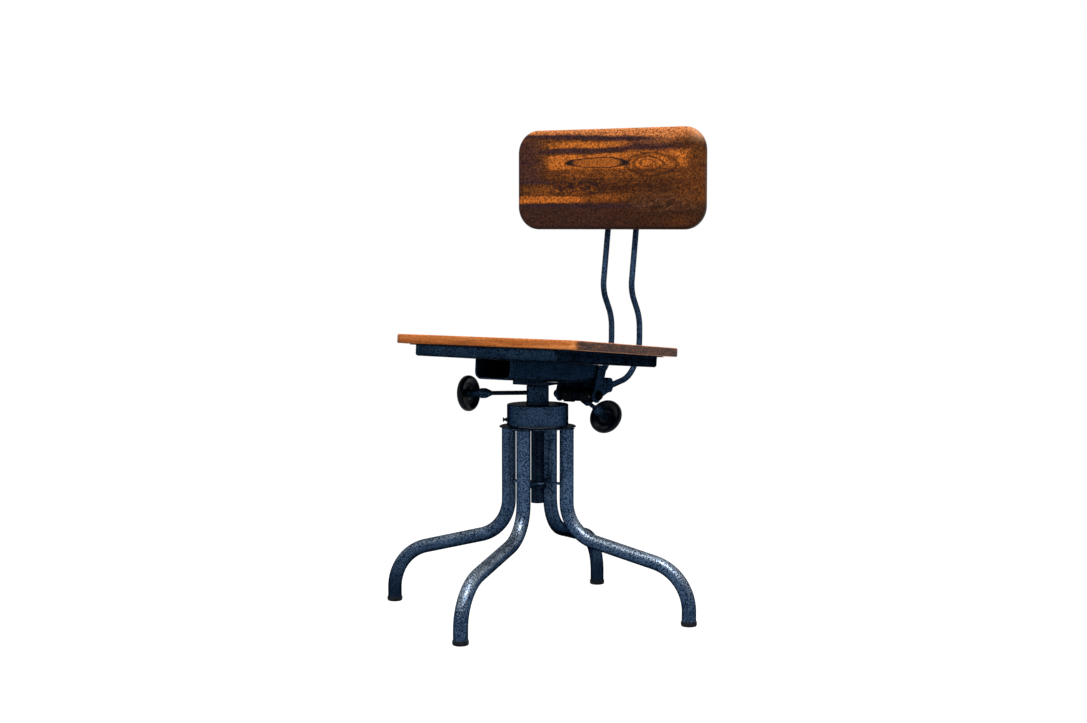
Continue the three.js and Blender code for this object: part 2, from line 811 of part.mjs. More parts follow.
function tray() {
  const outline = (inset) => roundedRectangle(trayHalfWidth, -trayFront, trayRear, trayCorner, inset);
  const foldShares = [[1, 0], [0.3, 0.3], [0, 1]]; // inset and rise, as shares of the fold's radius
  const shell = (inset, bottom, top) => stacked([
    ...foldShares.map(([i, z]) => ({ outline: outline(inset + i * trayFold), z: bottom + z * trayFold })),
    { outline: outline(inset), z: top },
  ]);
  const lips = [-1, 1].map((side) => {
    const [front, rear] = [-trayFront + lipSetback, trayRear - lipSetback];
    const root = trayHalfWidth - trayWall;
    const tip = trayHalfWidth + lipWidth;
    const under = trayTop - trayWall;
    const strip = slab([[front, under], [rear, under], [rear, trayTop], [front, trayTop]], root, tip);
    return side > 0 ? strip : strip.translate(-root - tip, 0, 0);
  });
  const body = join(shell(0, trayBottom, trayTop), ...lips);
  const holes = seatScrewPlaces().map(([x, y]) => bar(
    seatScrewRadius + seatGap,
    trayTop - trayWall - overrun,
    trayTop + overrun,
    screwSides,
  ).translate(x, y, 0));
  return cut(body, shell(trayWall, trayBottom + trayWall, trayTop + overrun), ...holes);
}

// The beam is a trough with round lower corners, and is shallower at its tail.
function troughOutline(inset, depth) {
  const x = beamHalfWidth - beamCorner;
  const z = beamTop - depth + beamCorner;
  const radius = beamCorner - inset;
  return [
    [-beamHalfWidth + inset, beamTop + (inset && overrun)],
    ...arc(-x, z, radius, Math.PI, 1.5 * Math.PI, cornerSteps),
    ...arc(x, z, radius, 1.5 * Math.PI, 2 * Math.PI, cornerSteps),
    [beamHalfWidth - inset, beamTop + (inset && overrun)],
  ];
}

function trough(inset, reach) {
  const stations = [
    [-beamFront - reach, beamDepth], [beamTaperBack, beamDepth],
    [beamRear + reach, beamTailDepth],
  ];
  const levels = stations.map(([y, depth]) => ({ outline: troughOutline(inset, depth), z: -y }));
  return stacked(levels.reverse()).rotateX(Math.PI / 2);
}

function beam() {
  const hubHole = bar(headHubRadius + seatGap, headBottom, seatHeight, tubeSides)
    .translate(0, 0, -seatHeight)
    .rotateX(seatTilt);
  return cut(trough(0, 0), trough(beamWall, overrun), hubHole);
}

// The height, in the upright frame, of a plane that lies at a given depth in the seat's frame.
function tiltedHeight(depth, back) {
  return seatHeight - back * Math.tan(seatTilt) + depth / Math.cos(seatTilt);
}

// The spindle's head is a wedge under the beam, with a hub that stands up inside it.
function spindleHead() {
  const beamUnder = (y) => tiltedHeight(headTop, y);
  const wedge = [
    [-headHalfLength, headBottom], [headHalfLength, headBottom],
    [headHalfLength, beamUnder(headHalfLength)], [-headHalfLength, beamUnder(-headHalfLength)],
  ];
  const hub = bar(headHubRadius, headBottom, headBottom + headBoreDepth + headRoof, tubeSides);
  const bore = bar(spindleRadius + seatGap, headBottom - overrun, headBottom + headBoreDepth, tubeSides);
  return cut(join(slab(wedge, -headHalfWidth, headHalfWidth), hub), bore);
}

// Hangers stand upright outside the beam and carry the cross shaft
function hanger(side) {
  const upper = [pivotBack + hangerFrontReach + hangerCorner, pivotBack + hangerRearReach - hangerCorner]
    .map((y) => [y, tiltedHeight(beamTop, y) - hangerCorner, hangerCorner]);
  const outline = hullOfCircles([[pivotBack, pivotHeight, hangerEndRadius], ...upper], tubeSides);
  const [left, right] = side > 0 ? [hangerInner, hangerOuter] : [-hangerOuter, -hangerInner];
  const bore = alongX(bar(shaftRadius + runningGap, left - overrun, right + overrun, tubeSides));
  return cut(slab(outline, left, right), bore.translate(0, pivotBack, pivotHeight));
}

// Pieces of the back arm, drawn upright about the cross shaft
function shaft() {
  return alongX(bar(shaftRadius, -shaftHalfLength, shaftHalfLength, tubeSides));
}

function shaftNut(side) {
  const inner = hangerOuter + seatGap;
  const placed = alongX(nut(shaftRadius, shaftNutRadius, inner, inner + shaftNutThickness));
  return side > 0 ? placed : placed.rotateZ(Math.PI);
}

function backSpring(side) {
  const radius = springRadius - springWireRadius;
  const coil = new Coil(springStart + springWireRadius, springEnd - springWireRadius, radius, springTurns);
  const gap = leastCoilGap(coil, springWireRadius);
  console.log(`least gap between the turns of a back spring: ${gap.toFixed(2)} mm`);
  const shape = new THREE.Shape(polygon(springWireRadius, wireSides));
  const steps = springTurns * stepsPerTurn;
  const spring = new THREE.ExtrudeGeometry(shape, { steps, extrudePath: coil, bevelEnabled: false });
  return side > 0 ? spring : spring.rotateZ(Math.PI);
}

function placeRakeScrew(geometry) {
  return geometry.rotateX(-Math.PI / 2 - rakeScrewSlope);
}

function placeRod(geometry, side) {
  return geometry.translate((side * rodSpacing) / 2, -pivotBack, -pivotHeight);
}

function rodPath() {
  const footBack = pivotBack + armBarBack;
  const startBack = footBack - armBarHalfDepth + rodSocketFloor + seatGap;
  const slope = (back) => rodFootHeight + (back - footBack) * Math.tan(rodSlope);
  const top = backPivotHeight + pivotSocketHalfHeight - pivotSocketRoof - seatGap;
  const corners = [
    [startBack, slope(startBack)], [rodBack, slope(rodBack)], [rodBack, pivotHeight + rodElbowRise],
    [pivotBack + rodKneeReach, pivotHeight + rodKneeRise], [rodNeckBack, pivotHeight + rodNeckRise],
    [rodNeckBack, top],
  ].map(([y, z]) => new THREE.Vector3(0, y, z));
  const radii = [rodFootBendRadius, rodElbowBendRadius, rodKneeBendRadius, rodNeckBendRadius];
  return new BentPath(corners, radii);
}

function rodSocket(side) {
  const depth = 2 * armBarHalfDepth - rodSocketFloor;
  const hole = bar(rodRadius + seatGap, armBarHalfDepth - depth, armBarHalfDepth + overrun, tubeSides);
  const placed = hole.rotateX(-Math.PI / 2 + rodSlope).translate(0, pivotBack + armBarBack, rodFootHeight);
  return placeRod(placed, side);
}

function backArm() {
  const barOutline = roundedRectangle(
    armBarHalfDepth,
    armBarRise - armBarHalfHeight,
    armBarRise + armBarHalfHeight,
    armBarRound,
    0,
  ).map(([y, z]) => [y + armBarBack, z]);
  const corner = armBarHalfHeight - armBarRound;
  const barEnds = [-1, 1].map((end) => [armBarBack, armBarRise + end * corner, armBarRound]);
  const cheekOutline = hullOfCircles([[0, 0, armCheekEndRadius], ...barEnds], rodSides);
  const cheeks = [[-armHalfWidth, -armCheekInner], [armCheekInner, armHalfWidth]]
    .map(([left, right]) => slab(cheekOutline, left, right));
  const rib = slab(cheekOutline, -armRibHalfWidth, armRibHalfWidth);
  const hub = alongX(bar(armHubRadius, -armHubHalfWidth, armHubHalfWidth, tubeSides));
  const boss = placeRakeScrew(bar(rakeBossRadius, 0, rakeBossLength, tubeSides));
  const body = join(slab(barOutline, -armBarHalfWidth, armBarHalfWidth), ...cheeks, rib, hub, boss);
  const reach = armHalfWidth + overrun;
  const shaftBore = alongX(bar(shaftRadius + runningGap, -reach, reach, tubeSides));
  const screwHole = placeRakeScrew(bar(screwBore, 0, rakeBossLength + overrun, tubeSides));
  const setScrewHoles = [-1, 1].map((side) => setScrewHole(side));
  return cut(body, shaftBore, screwHole, rodSocket(-1), rodSocket(1), ...setScrewHoles);
}

// A set screw comes up through the socket bar's underside against each rod.
function placeSetScrew(geometry, side) {
  return geometry.translate((side * rodSpacing) / 2, armBarBack, rodFootHeight - pivotHeight - rodRadius);
}

function setScrewLength() {
  return rodFootHeight - pivotHeight - rodRadius - (armBarRise - armBarHalfHeight);
}

function setScrewHole(side) {
  const low = -setScrewLength() - overrun;
  return placeSetScrew(bar(setScrewRadius + seatGap, low, rodRadius, screwSides), side);
}

function setScrew(side) {
  return placeSetScrew(bar(setScrewRadius, -setScrewLength(), -seatGap, screwSides), side);
}

// Pieces of the backrest, drawn about the pivot bar
function pivotBar() {
  const sockets = [-1, 1].map((side) => bar(
    pivotSocketRadius,
    -pivotSocketHalfHeight,
    pivotSocketHalfHeight,
    tubeSides,
  ).translate((side * rodSpacing) / 2, 0, 0));
  const journal = alongX(bar(pivotBarRadius, -rodSpacing / 2, rodSpacing / 2, tubeSides));
  const holes = [-1, 1].map((side) => bar(
    rodRadius + seatGap,
    -pivotSocketHalfHeight - overrun,
    pivotSocketHalfHeight - pivotSocketRoof,
    tubeSides,
  ).translate((side * rodSpacing) / 2, 0, 0));
  return cut(join(...sockets, journal), ...holes);
}

function backBracket() {
  const rear = backBoardBack + seatGap + bracketThickness;
  const plate = slab([
    [backBoardBack + seatGap, backBoardRise - bracketHalfHeight], [rear, backBoardRise - bracketHalfHeight],
    [rear, backBoardRise + bracketHalfHeight], [backBoardBack + seatGap, backBoardRise + bracketHalfHeight],
  ], -bracketHalfWidth, bracketHalfWidth);
  const root = [-1, 1].map((end) => {
    const height = backBoardRise + end * earRootHalfHeight;
    return [rear - bracketThickness / 2, height, bracketThickness / 2];
  });
  const earOutline = hullOfCircles([[0, 0, earEndRadius], ...root], 2 * rodSides);
  const ears = [[-earOffset - earThickness, -earOffset], [earOffset, earOffset + earThickness]]
    .map(([left, right]) => slab(earOutline, left, right));
  const reach = earOffset + earThickness + overrun;
  const bore = alongX(bar(pivotBarRadius + runningGap, -reach, reach, tubeSides));
  const holes = backScrewPlaces().map(([x, z]) => placeBackScrew(bar(
    backScrewRadius + seatGap,
    -seatGap - overrun,
    bracketThickness + seatGap + overrun,
    screwSides,
  ), x, z));
  return cut(join(plate, ...ears), bore, ...holes);
}

function backScrewPlaces() {
  const x = bracketHalfWidth - backScrewInset;
  const z = bracketHalfHeight - backScrewInset;
  return [[-x, -z], [x, -z], [-x, z], [x, z]];
}

// Turns a screw that is drawn along +Z, from the board's rear face outwards, to its place.
function placeBackScrew(geometry, x, z) {
  return geometry.rotateX(-Math.PI / 2).translate(x, backBoardBack, backBoardRise + z);
}

function backScrew() {
  const seat = bracketThickness + 2 * seatGap;
  const profile = [
    [0, -backScrewLength], [backScrewRadius, -backScrewLength], [backScrewRadius, seat],
    [backScrewHeadRadius, seat], [backScrewHeadRadius / 2, seat + backScrewHeadHeight],
    [0, seat + backScrewHeadHeight],
  ];
  return turned(profile, screwSides);
}

function backBoard() {
  const shape = board(backHalfWidth, -backHalfHeight, backHalfHeight, backCorner, backEdge, backThickness);
  const placed = shape.rotateX(Math.PI / 2).translate(0, backBoardBack, backBoardRise);
  const pilots = backScrewPlaces().map(([x, z]) => placeBackScrew(bar(
    backScrewRadius + seatGap,
    -backScrewLength - seatGap,
    overrun,
    screwSides,
  ), x, z));
  return cut(placed, ...pilots);
}

// Assembly: the column stands ahead of the box's middle, because the rods reach further than the feet
const chair = new THREE.Group();
chair.name = 'chair';
const column = groupIn(chair, 'column');
column.position.y = (frontReach - rearReach) / 2;

const base = groupIn(column, 'base');
base.rotation.z = baseTurn;
legNames.forEach((name, i) => {
  const place = groupIn(base, `place_${name}`);
  place.rotation.z = legTurn(i);
  add(place, `leg_${name}`, leg(), paint());
  add(place, `ferrule_${name}`, ferrule(), rubber());
});
add(base, 'leg_flange', flange(), paint());
add(base, 'leg_brace', brace(), paint());
add(base, 'race_lower', race(lowerRaceBottom, lowerRaceTop, raceOuter - runningGap), brightSteel());

const swivel = groupIn(column, 'swivel');
add(swivel, 'ball_cage', ballCage(), brightSteel());
add(swivel, 'race_upper', race(upperRaceTop, upperRaceBottom, raceOuter), brightSteel());
add(swivel, 'swivel_collar', collar(), paint());
add(swivel, 'grease_nipple', nipple(), darkPaint());
add(swivel, 'swivel_tube', swivelTube(), darkPaint());
add(swivel, 'clamp_boss', clampBoss(), paint());
add(swivel, 'retaining_nut', retainingNut(), darkPaint());
add(swivel, 'height_pad', placeHeightScrew(lockPad(spindleRadius)), brass());
add(swivel, 'height_screw', placeHeightScrew(lockScrew(spindleRadius, heightWheelDistance)), darkPaint());
add(swivel, 'height_hub', placeHeightScrew(lockHub(heightWheelDistance)), paint());
add(swivel, 'height_handwheel', placeHeightScrew(handwheel(heightWheelDistance)), blackPlastic());
add(swivel, 'height_wheel_nut', placeHeightScrew(wheelNut(heightWheelDistance)), darkPaint());

const seat = groupIn(column, 'seat');
add(seat, 'spindle', spindle(), brightSteel());
add(seat, 'spindle_head', spindleHead(), darkPaint());
add(seat, 'hanger_left', hanger(1), paint());
add(seat, 'hanger_right', hanger(-1), paint());
const tilted = groupIn(seat, 'tilted');
tilted.position.z = seatHeight;
tilted.rotation.x = -seatTilt;
add(tilted, 'seat_board', seatBoard(), seatWood());
add(tilted, 'seat_tray', tray(), paint());
add(tilted, 'beam', beam(), paint());
seatScrewPlaces().forEach(([x, y], i) => {
  add(tilted, `seat_screw_${i + 1}`, seatScrew().translate(x, y, 0), darkPaint());
});

const arm = groupIn(column, 'arm');
arm.position.set(0, pivotBack, pivotHeight);
add(arm, 'back_shaft', shaft(), brightSteel());
add(arm, 'shaft_nut_left', shaftNut(1), darkPaint());
add(arm, 'shaft_nut_right', shaftNut(-1), darkPaint());
add(arm, 'back_spring_left', backSpring(1), springSteel());
add(arm, 'back_spring_right', backSpring(-1), springSteel());
add(arm, 'back_arm', backArm(), paint());
add(arm, 'rod_left', placeRod(bentTube(rodPath(), rodRadius, rodSides), 1), paint());
add(arm, 'rod_right', placeRod(bentTube(rodPath(), rodRadius, rodSides), -1), paint());
add(arm, 'set_screw_left', setScrew(1), darkPaint());
add(arm, 'set_screw_right', setScrew(-1), darkPaint());
add(arm, 'rake_pad', placeRakeScrew(lockPad(shaftRadius)), brass());
add(arm, 'rake_screw', placeRakeScrew(lockScrew(shaftRadius, rakeWheelDistance)), darkPaint());
add(arm, 'rake_hub', placeRakeScrew(lockHub(rakeWheelDistance)), paint());
add(arm, 'rake_handwheel', placeRakeScrew(handwheel(rakeWheelDistance)), blackPlastic());
add(arm, 'rake_wheel_nut', placeRakeScrew(wheelNut(rakeWheelDistance)), darkPaint());

const rest = groupIn(column, 'rest');
rest.position.set(0, rodNeckBack, backPivotHeight);
add(rest, 'pivot_bar', pivotBar(), darkPaint());
add(rest, 'back_bracket', backBracket(), darkPaint());
add(rest, 'back_board', backBoard(), backWood());
backScrewPlaces().forEach(([x, z], i) => {
  add(rest, `back_screw_${i + 1}`, placeBackScrew(backScrew(), x, z), darkPaint());
});

export default chair;
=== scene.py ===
"""The look of the swivel chair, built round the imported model.

Shapes are drawn in millimetres in the local frame of what carries them, and placed in metres.
"""

import json
import math

import bmesh
import bpy
from mathutils import Matrix, Vector, noise


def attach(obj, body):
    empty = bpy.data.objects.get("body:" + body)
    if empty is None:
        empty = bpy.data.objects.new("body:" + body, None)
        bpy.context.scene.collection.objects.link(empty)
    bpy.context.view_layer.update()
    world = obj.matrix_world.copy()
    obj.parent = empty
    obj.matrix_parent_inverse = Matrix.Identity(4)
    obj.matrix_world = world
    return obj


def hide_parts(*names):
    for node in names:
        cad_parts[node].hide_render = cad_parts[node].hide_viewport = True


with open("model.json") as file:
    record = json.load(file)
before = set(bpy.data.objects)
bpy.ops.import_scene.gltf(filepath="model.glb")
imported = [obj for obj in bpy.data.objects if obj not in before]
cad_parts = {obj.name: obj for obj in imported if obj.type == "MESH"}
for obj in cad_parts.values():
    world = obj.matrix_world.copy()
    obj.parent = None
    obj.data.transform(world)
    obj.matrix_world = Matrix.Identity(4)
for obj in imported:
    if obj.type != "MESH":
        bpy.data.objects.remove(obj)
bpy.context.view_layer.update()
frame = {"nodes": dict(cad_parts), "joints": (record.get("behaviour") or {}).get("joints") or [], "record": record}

MM = 0.001
PI = math.pi
SIDES = (("left", 1), ("right", -1))
rad = math.radians
joints = {joint["name"]: joint for joint in frame["joints"]}


# Camera

COLUMN = Vector(joints["swivel_turn"]["pos_m"])
COLUMN.z = 0

CAMERA_DISTANCE = 3.4281
CAMERA_HEIGHT = 0.73746
CAMERA_AZIMUTH = rad(31.169)
CAMERA_PITCH = rad(4.278)
CAMERA_YAW = rad(0.185)
CAMERA_CLIP = (0.1, 60)
FOCAL_PIXELS = 1816.7
IMAGE_WIDTH = 1087
SENSOR = 36.0


def link_object(name, data):
    obj = bpy.data.objects.new(name, data)
    bpy.context.scene.collection.objects.link(obj)
    return obj


camera_data = bpy.data.cameras.new("camera")
camera_data.sensor_width = SENSOR
camera_data.lens = SENSOR * FOCAL_PIXELS / IMAGE_WIDTH
camera_data.clip_start, camera_data.clip_end = CAMERA_CLIP
camera = link_object("camera", camera_data)
camera.location = COLUMN + Vector((
    CAMERA_DISTANCE * math.sin(CAMERA_AZIMUTH),
    -CAMERA_DISTANCE * math.cos(CAMERA_AZIMUTH),
    CAMERA_HEIGHT,
))
camera.rotation_euler = (PI / 2 - CAMERA_PITCH, 0, CAMERA_AZIMUTH - CAMERA_YAW)
bpy.context.scene.camera = camera


# Frames of the parts

BASE_TURN = rad(6.3)
LEG_SKEWS = {"front": -1.7, "left": 1.5, "rear": 1.1, "right": 2.8}  # degrees off even quarter turns
SEAT_TILT = rad(5.3)
SEAT_HEIGHT = 520


def shift(x, y, z):
    return Matrix.Translation((x, y, z))


def turn(angle, axis):
    return Matrix.Rotation(angle, 4, axis)


def at_joint(name):
    return shift(*(Vector(joints[name]["pos_m"]) / MM))


def along_joint(name):
    """The frame at a joint, in millimetres, whose Z lies along the joint's axis."""
    z = Vector(joints[name]["axis"]).normalized()
    x = Vector((0, 1, 0)).cross(z) if abs(z.y) < 0.5 else Vector((1, 0, 0))
    x.normalize()
    return at_joint(name) @ Matrix((x, z.cross(x), z)).transposed().to_4x4()


ON_COLUMN = shift(*(COLUMN / MM))
ON_BASE = ON_COLUMN @ turn(BASE_TURN, "Z")
ON_SEAT = ON_COLUMN @ shift(0, 0, SEAT_HEIGHT) @ turn(-SEAT_TILT, "X")
ON_ARM = at_joint("back_rake")
ALONG_SHAFT = ON_ARM @ turn(PI / 2, "Y")
ON_BACK = at_joint("backrest_tilt")
ON_HEIGHT = along_joint("height_wheel_turn")
ON_RAKE = along_joint("rake_wheel_turn")


# Shapes

ON_AXIS = 1e-6


class Shape:
    """A mesh in the making: points in millimetres and faces."""

    def __init__(self):
        self.points = []
        self.faces = []

    def merge(self, other):
        start = len(self.points)
        self.points += other.points
        self.faces += [[start + i for i in face] for face in other.faces]
        return self


def full_turn(sides):
    return [2 * PI * i / sides for i in range(sides)]


def quarter_turn(steps):
    return [PI / 2 * k / steps for k in range(steps + 1)]


def polar(radius, angle, height=0.0):
    return Vector((radius * math.cos(angle), radius * math.sin(angle), height))


def fillet(profile, radii, steps):
    """The profile with each inner corner rounded by its radius."""
    points = [Vector(p) for p in profile]
    out = [points[0]]
    for i, radius in enumerate(radii, 1):
        corner = points[i]
        before, after = points[i - 1] - corner, points[i + 1] - corner
        angle = before.angle(after)
        if not radius or angle > PI - 0.01:
            out.append(corner)
            continue
        reach = min(radius / math.tan(angle / 2), before.length * 0.49, after.length * 0.49)
        start = corner + before.normalized() * reach
        end = corner + after.normalized() * reach
        for k in range(steps + 1):
            t = k / steps
            out.append(start * (1 - t) ** 2 + corner * 2 * t * (1 - t) + end * t ** 2)
    return out + [points[-1]]


def closed(profile):
    return list(profile) + [profile[0]]


def revolve(profile, sides):
    """A round shape about Z. The profile is (radius, height) and may start and end on the axis."""
    shape = Shape()
    rows = []
    for radius, height in profile:
        first = len(shape.points)
        if radius < ON_AXIS:
            shape.points.append(Vector((0, 0, height)))
            rows.append([first] * sides)
        else:
            shape.points += [polar(radius, angle, height) for angle in full_turn(sides)]
            rows.append(range(first, first + sides))
    for low, high in zip(rows, rows[1:]):
        for i in range(sides):
            j = (i + 1) % sides
            face = list(dict.fromkeys((low[i], low[j], high[j], high[i])))
            if len(face) > 2:
                shape.faces.append(face)
    return shape


def loft(loops, cap=True):
    """A shape through closed loops with the same number of points."""
    shape = Shape()
    count = len(loops[0])
    for loop in loops:
        shape.points += [Vector(p) for p in loop]
    for a in range(0, (len(loops) - 1) * count, count):
        b = a + count
        for i in range(count):
            j = (i + 1) % count
            shape.faces.append([a + i, a + j, b + j, b + i])
    if cap:
        last = (len(loops) - 1) * count
        shape.faces.append(list(reversed(range(count))))
        shape.faces.append([last + i for i in range(count)])
    return shape


def bent_path(corners, radii, steps):
    """Points along straight lines joined by round bends."""
    points = [Vector(c) for c in corners]
    out = [points[0]]
    for i, radius in enumerate(radii, 1):
        before = (points[i - 1] - points[i]).normalized()
        after = (points[i + 1] - points[i]).normalized()
        half = before.angle(after) / 2
        reach = radius / math.tan(half)
        centre = points[i] + (before + after).normalized() * (radius / math.sin(half))
        a = points[i] + before * reach - centre
        b = points[i] + after * reach - centre
        angle = a.angle(b)
        across = (b - a * math.cos(angle)) / math.sin(angle)
        for k in range(steps + 1):
            t = angle * k / steps
            out.append(centre + a * math.cos(t) + across * math.sin(t))
    return out + [points[-1]]


def densify(points, longest):
    """The path with its long stretches split."""
    out = [points[0]]
    for a, b in zip(points, points[1:]):
        count = max(1, math.ceil((b - a).length / longest))
        out += [a.lerp(b, k / count) for k in range(1, count + 1)]
    return out


def sweep(points, radius, sides):
    """A round bar along a path."""
    loops = []
    side = None
    for i, point in enumerate(points):
        before = point - points[max(i - 1, 0)]
        after = points[min(i + 1, len(points) - 1)] - point
        tangent = (before.normalized() + after.normalized()).normalized()
        if side is None:
            side = tangent.orthogonal().normalized()
        side = (side - tangent * side.dot(tangent)).normalized()
        up = tangent.cross(side)
        loops.append([point + (side * math.cos(angle) + up * math.sin(angle)) * radius
                      for angle in full_turn(sides)])
    return loft(loops)


def rounded_rectangle(half_width, low, high, corner, inset, steps, straight):
    """A rectangle with round corners, drawn in by an inset, with its straight sides split."""
    radius = max(corner - inset, 0.01)
    drawn_in = max(corner, inset)
    x, y0, y1 = half_width - drawn_in, low + drawn_in, high - drawn_in
    arcs = []
    for cx, cy, start in ((x, y0, -PI / 2), (x, y1, 0), (-x, y1, PI / 2), (-x, y0, PI)):
        arcs.append([(cx + radius * math.cos(start + angle), cy + radius * math.sin(start + angle))
                     for angle in quarter_turn(steps)])
    out = []
    for arc, following in zip(arcs, closed(arcs)[1:]):
        a, b = Vector(arc[-1]), Vector(following[0])
        out += arc + [tuple(a.lerp(b, k / straight)) for k in range(1, straight)]
    return out


def circles_outline(circles, inset):
    """The convex outline round circles of (y, z, radius), each drawn in by an inset."""
    points = []
    for y, z, radius in circles:
        r = radius - inset
        points += [(y + r * math.cos(angle), z + r * math.sin(angle)) for angle in full_turn(48)]
    points = sorted(set(points))

    def chain(items):
        out = []
        for p in items:
            while len(out) > 1:
                (ox, oy), (ax, ay) = out[-2:]
                if (ax - ox) * (p[1] - oy) > (ay - oy) * (p[0] - ox):
                    break
                out.pop()
            out.append(p)
        return out[:-1]

    return chain(points) + chain(points[::-1])


def resample(outline, count):
    """The closed outline as count points at even distances, so that outlines can be lofted."""
    points = [Vector(p) for p in outline]
    start = max(range(len(points)), key=lambda i: (points[i].x, points[i].y))
    points = closed(points[start:] + points[:start])
    lengths = [0.0]
    for a, b in zip(points, points[1:]):
        lengths.append(lengths[-1] + (b - a).length)
    out, i = [], 0
    for k in range(count):
        at = lengths[-1] * k / count
        while lengths[i + 1] < at:
            i += 1
        out.append(points[i].lerp(points[i + 1], (at - lengths[i]) / (lengths[i + 1] - lengths[i])))
    return out


def plate(circles, left, right, edge):
    """A flat plate in Y and Z from one X to another, with rounded edges."""
    levels = [(edge * (1 - math.sin(angle)), left + edge * (1 - math.cos(angle)))
              for angle in quarter_turn(4)]
    levels += [(inset, right - (x - left)) for inset, x in reversed(levels)]
    return loft([[(x, p.x, p.y) for p in resample(circles_outline(circles, inset), 160)]
                 for inset, x in levels])


def settle(obj, body, material, replaces):
    """Gives a piece its smooth shading and look, and ties it to its body."""
    mesh = obj.data
    mesh.polygons.foreach_set("use_smooth", [True] * len(mesh.polygons))
    mesh.materials.clear()
    mesh.materials.append(material)
    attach(obj, body)
    if replaces:
        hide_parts(*replaces)


def piece(name, shape, place, body, material, replaces=(), sharp=40, recalc=True):
    """Makes an object from a shape. Edges sharper than an angle stay sharp."""
    mesh = bpy.data.meshes.new(name)
    mesh.from_pydata([tuple((place @ p) * MM) for p in shape.points], [], shape.faces)
    if recalc:
        work = bmesh.new()
        work.from_mesh(mesh)
        bmesh.ops.recalc_face_normals(work, faces=work.faces)
        work.to_mesh(mesh)
        work.free()
    settle(link_object(name, mesh), body, material, replaces)
    mesh.set_sharp_from_angle(angle=rad(sharp))


# Materials

class Nodes:
    """A short way to write a node tree."""

    def __init__(self, owner):
        owner.use_nodes = True
        self.tree = owner.node_tree
        self.tree.nodes.clear()

    def link(self, value, socket):
        if isinstance(value, bpy.types.NodeSocket):
            self.tree.links.new(value, socket)
        else:
            socket.default_value = value

    def new(self, kind, **inputs):
        """A node with these inputs. An underscore in an input's name stands for a space."""
        node = self.tree.nodes.new("ShaderNode" + kind)
        for name, value in inputs.items():
            self.link(value, node.inputs[name.replace("_", " ")])
        return node

    def operate(self, kind, operation, values):
        node = self.new(kind)
        node.operation = operation
        for socket, value in zip(node.inputs, values):
            self.link(value, socket)
        return node

    def math(self, operation, *values):
        return self.operate("Math", operation, values).outputs[0]

    def plus(self, a, b):
        return self.math("ADD", a, b)

    def minus(self, a, b):
        return self.math("SUBTRACT", a, b)

    def times(self, a, b):
        return self.math("MULTIPLY", a, b)

    def weigh(self, *parts):
        """The sum of values times their weights."""
        total = None
        for value, weight in parts:
            share = self.times(value, weight)
            total = share if total is None else self.plus(total, share)
        return total

    def vector(self, operation, *values):
        node = self.operate("VectorMath", operation, values)
        return node.outputs["Value" if operation == "LENGTH" else "Vector"]

    def split(self, source):
        return self.new("SeparateXYZ", Vector=source).outputs

    def join(self, x, y, z):
        return self.new("CombineXYZ", X=x, Y=y, Z=z).outputs[0]

    def mapping(self, source, scale):
        return self.new("Mapping", Vector=source, Scale=scale).outputs[0]

    def noise(self, source, scale, detail=4, roughness=0.55, distortion=0.0, colour=False):
        node = self.new("TexNoise", Vector=source, Scale=scale, Detail=detail, Roughness=roughness,
                        Distortion=distortion)
        return node.outputs["Color" if colour else "Fac"]

    def stretched(self, source, scales, detail, roughness, distortion=0.0):
        """Noise with its own scale along each axis."""
        return self.noise(self.mapping(source, scales), 1, detail, roughness, distortion)

    def ramp(self, source, stops):
        node = self.new("ValToRGB")
        self.link(source, node.inputs[0])
        elements = node.color_ramp.elements
        elements.remove(elements[-1])
        for i, (position, colour) in enumerate(stops):
            element = elements.new(position) if i else elements[0]
            element.position = position
            element.color = (*colour, 1)
        return node.outputs[0]

    def smooth(self, value, low, high):
        node = self.new("MapRange", Value=value, From_Min=low, From_Max=high)
        node.interpolation_type = "SMOOTHSTEP"
        return node.outputs[0]

    def mix(self, factor, a, b, blend="MIX"):
        node = self.new("Mix")
        node.data_type = "RGBA"
        node.blend_type = blend
        self.link(factor, node.inputs["Factor"])
        for socket, value in zip([s for s in node.inputs if s.type == "RGBA"], (a, b)):
            self.link((*value, 1) if isinstance(value, tuple) else value, socket)
        return next(s for s in node.outputs if s.type == "RGBA")

    def lay(self, colour, shares, over, strength):
        """The colour with another laid over it, by its shares of full strength."""
        return self.mix(self.times(shares, strength), colour, over)

    def bump(self, height, strength, distance):
        return self.new("Bump", Height=height, Strength=strength, Distance=distance).outputs[0]


class Surface(Nodes):
    """A material, with the coordinates that its textures use."""

    def __init__(self, name):
        self.material = bpy.data.materials.new(name)
        super().__init__(self.material)
        places = self.new("TexCoord")
        self.coordinates = places.outputs["Object"]
        self.normals = places.outputs["Normal"]

    def finish(self, **inputs):
        shader = self.new("BsdfPrincipled", **inputs)
        self.new("OutputMaterial", Surface=shader.outputs[0])
        return self.material


DIM_EDGE = (0.08, 0.08, 0.08, 1)  # how much a metallic surface still mirrors where it turns away
SPECK_SCALE = 420
FINE_SCALE = 1100
# The pale colour of wear and painted highlight on surfaces that face up.
WEAR_AND_HIGHLIGHT = (0.38, 0.44, 0.50)
# The near-black of painted shade round a pivot.
SHAFT_SHADE_COLOUR = (0.002, 0.003, 0.005)
# Painted shade darkens the paint from the first height down to the second, towards the floor.
LOW_SHADE_TOP, LOW_SHADE_BOTTOM = 0.120, 0.015


def scaled(colour, share, extra=0.0):
    return tuple(min(1, share * c + extra) for c in colour)


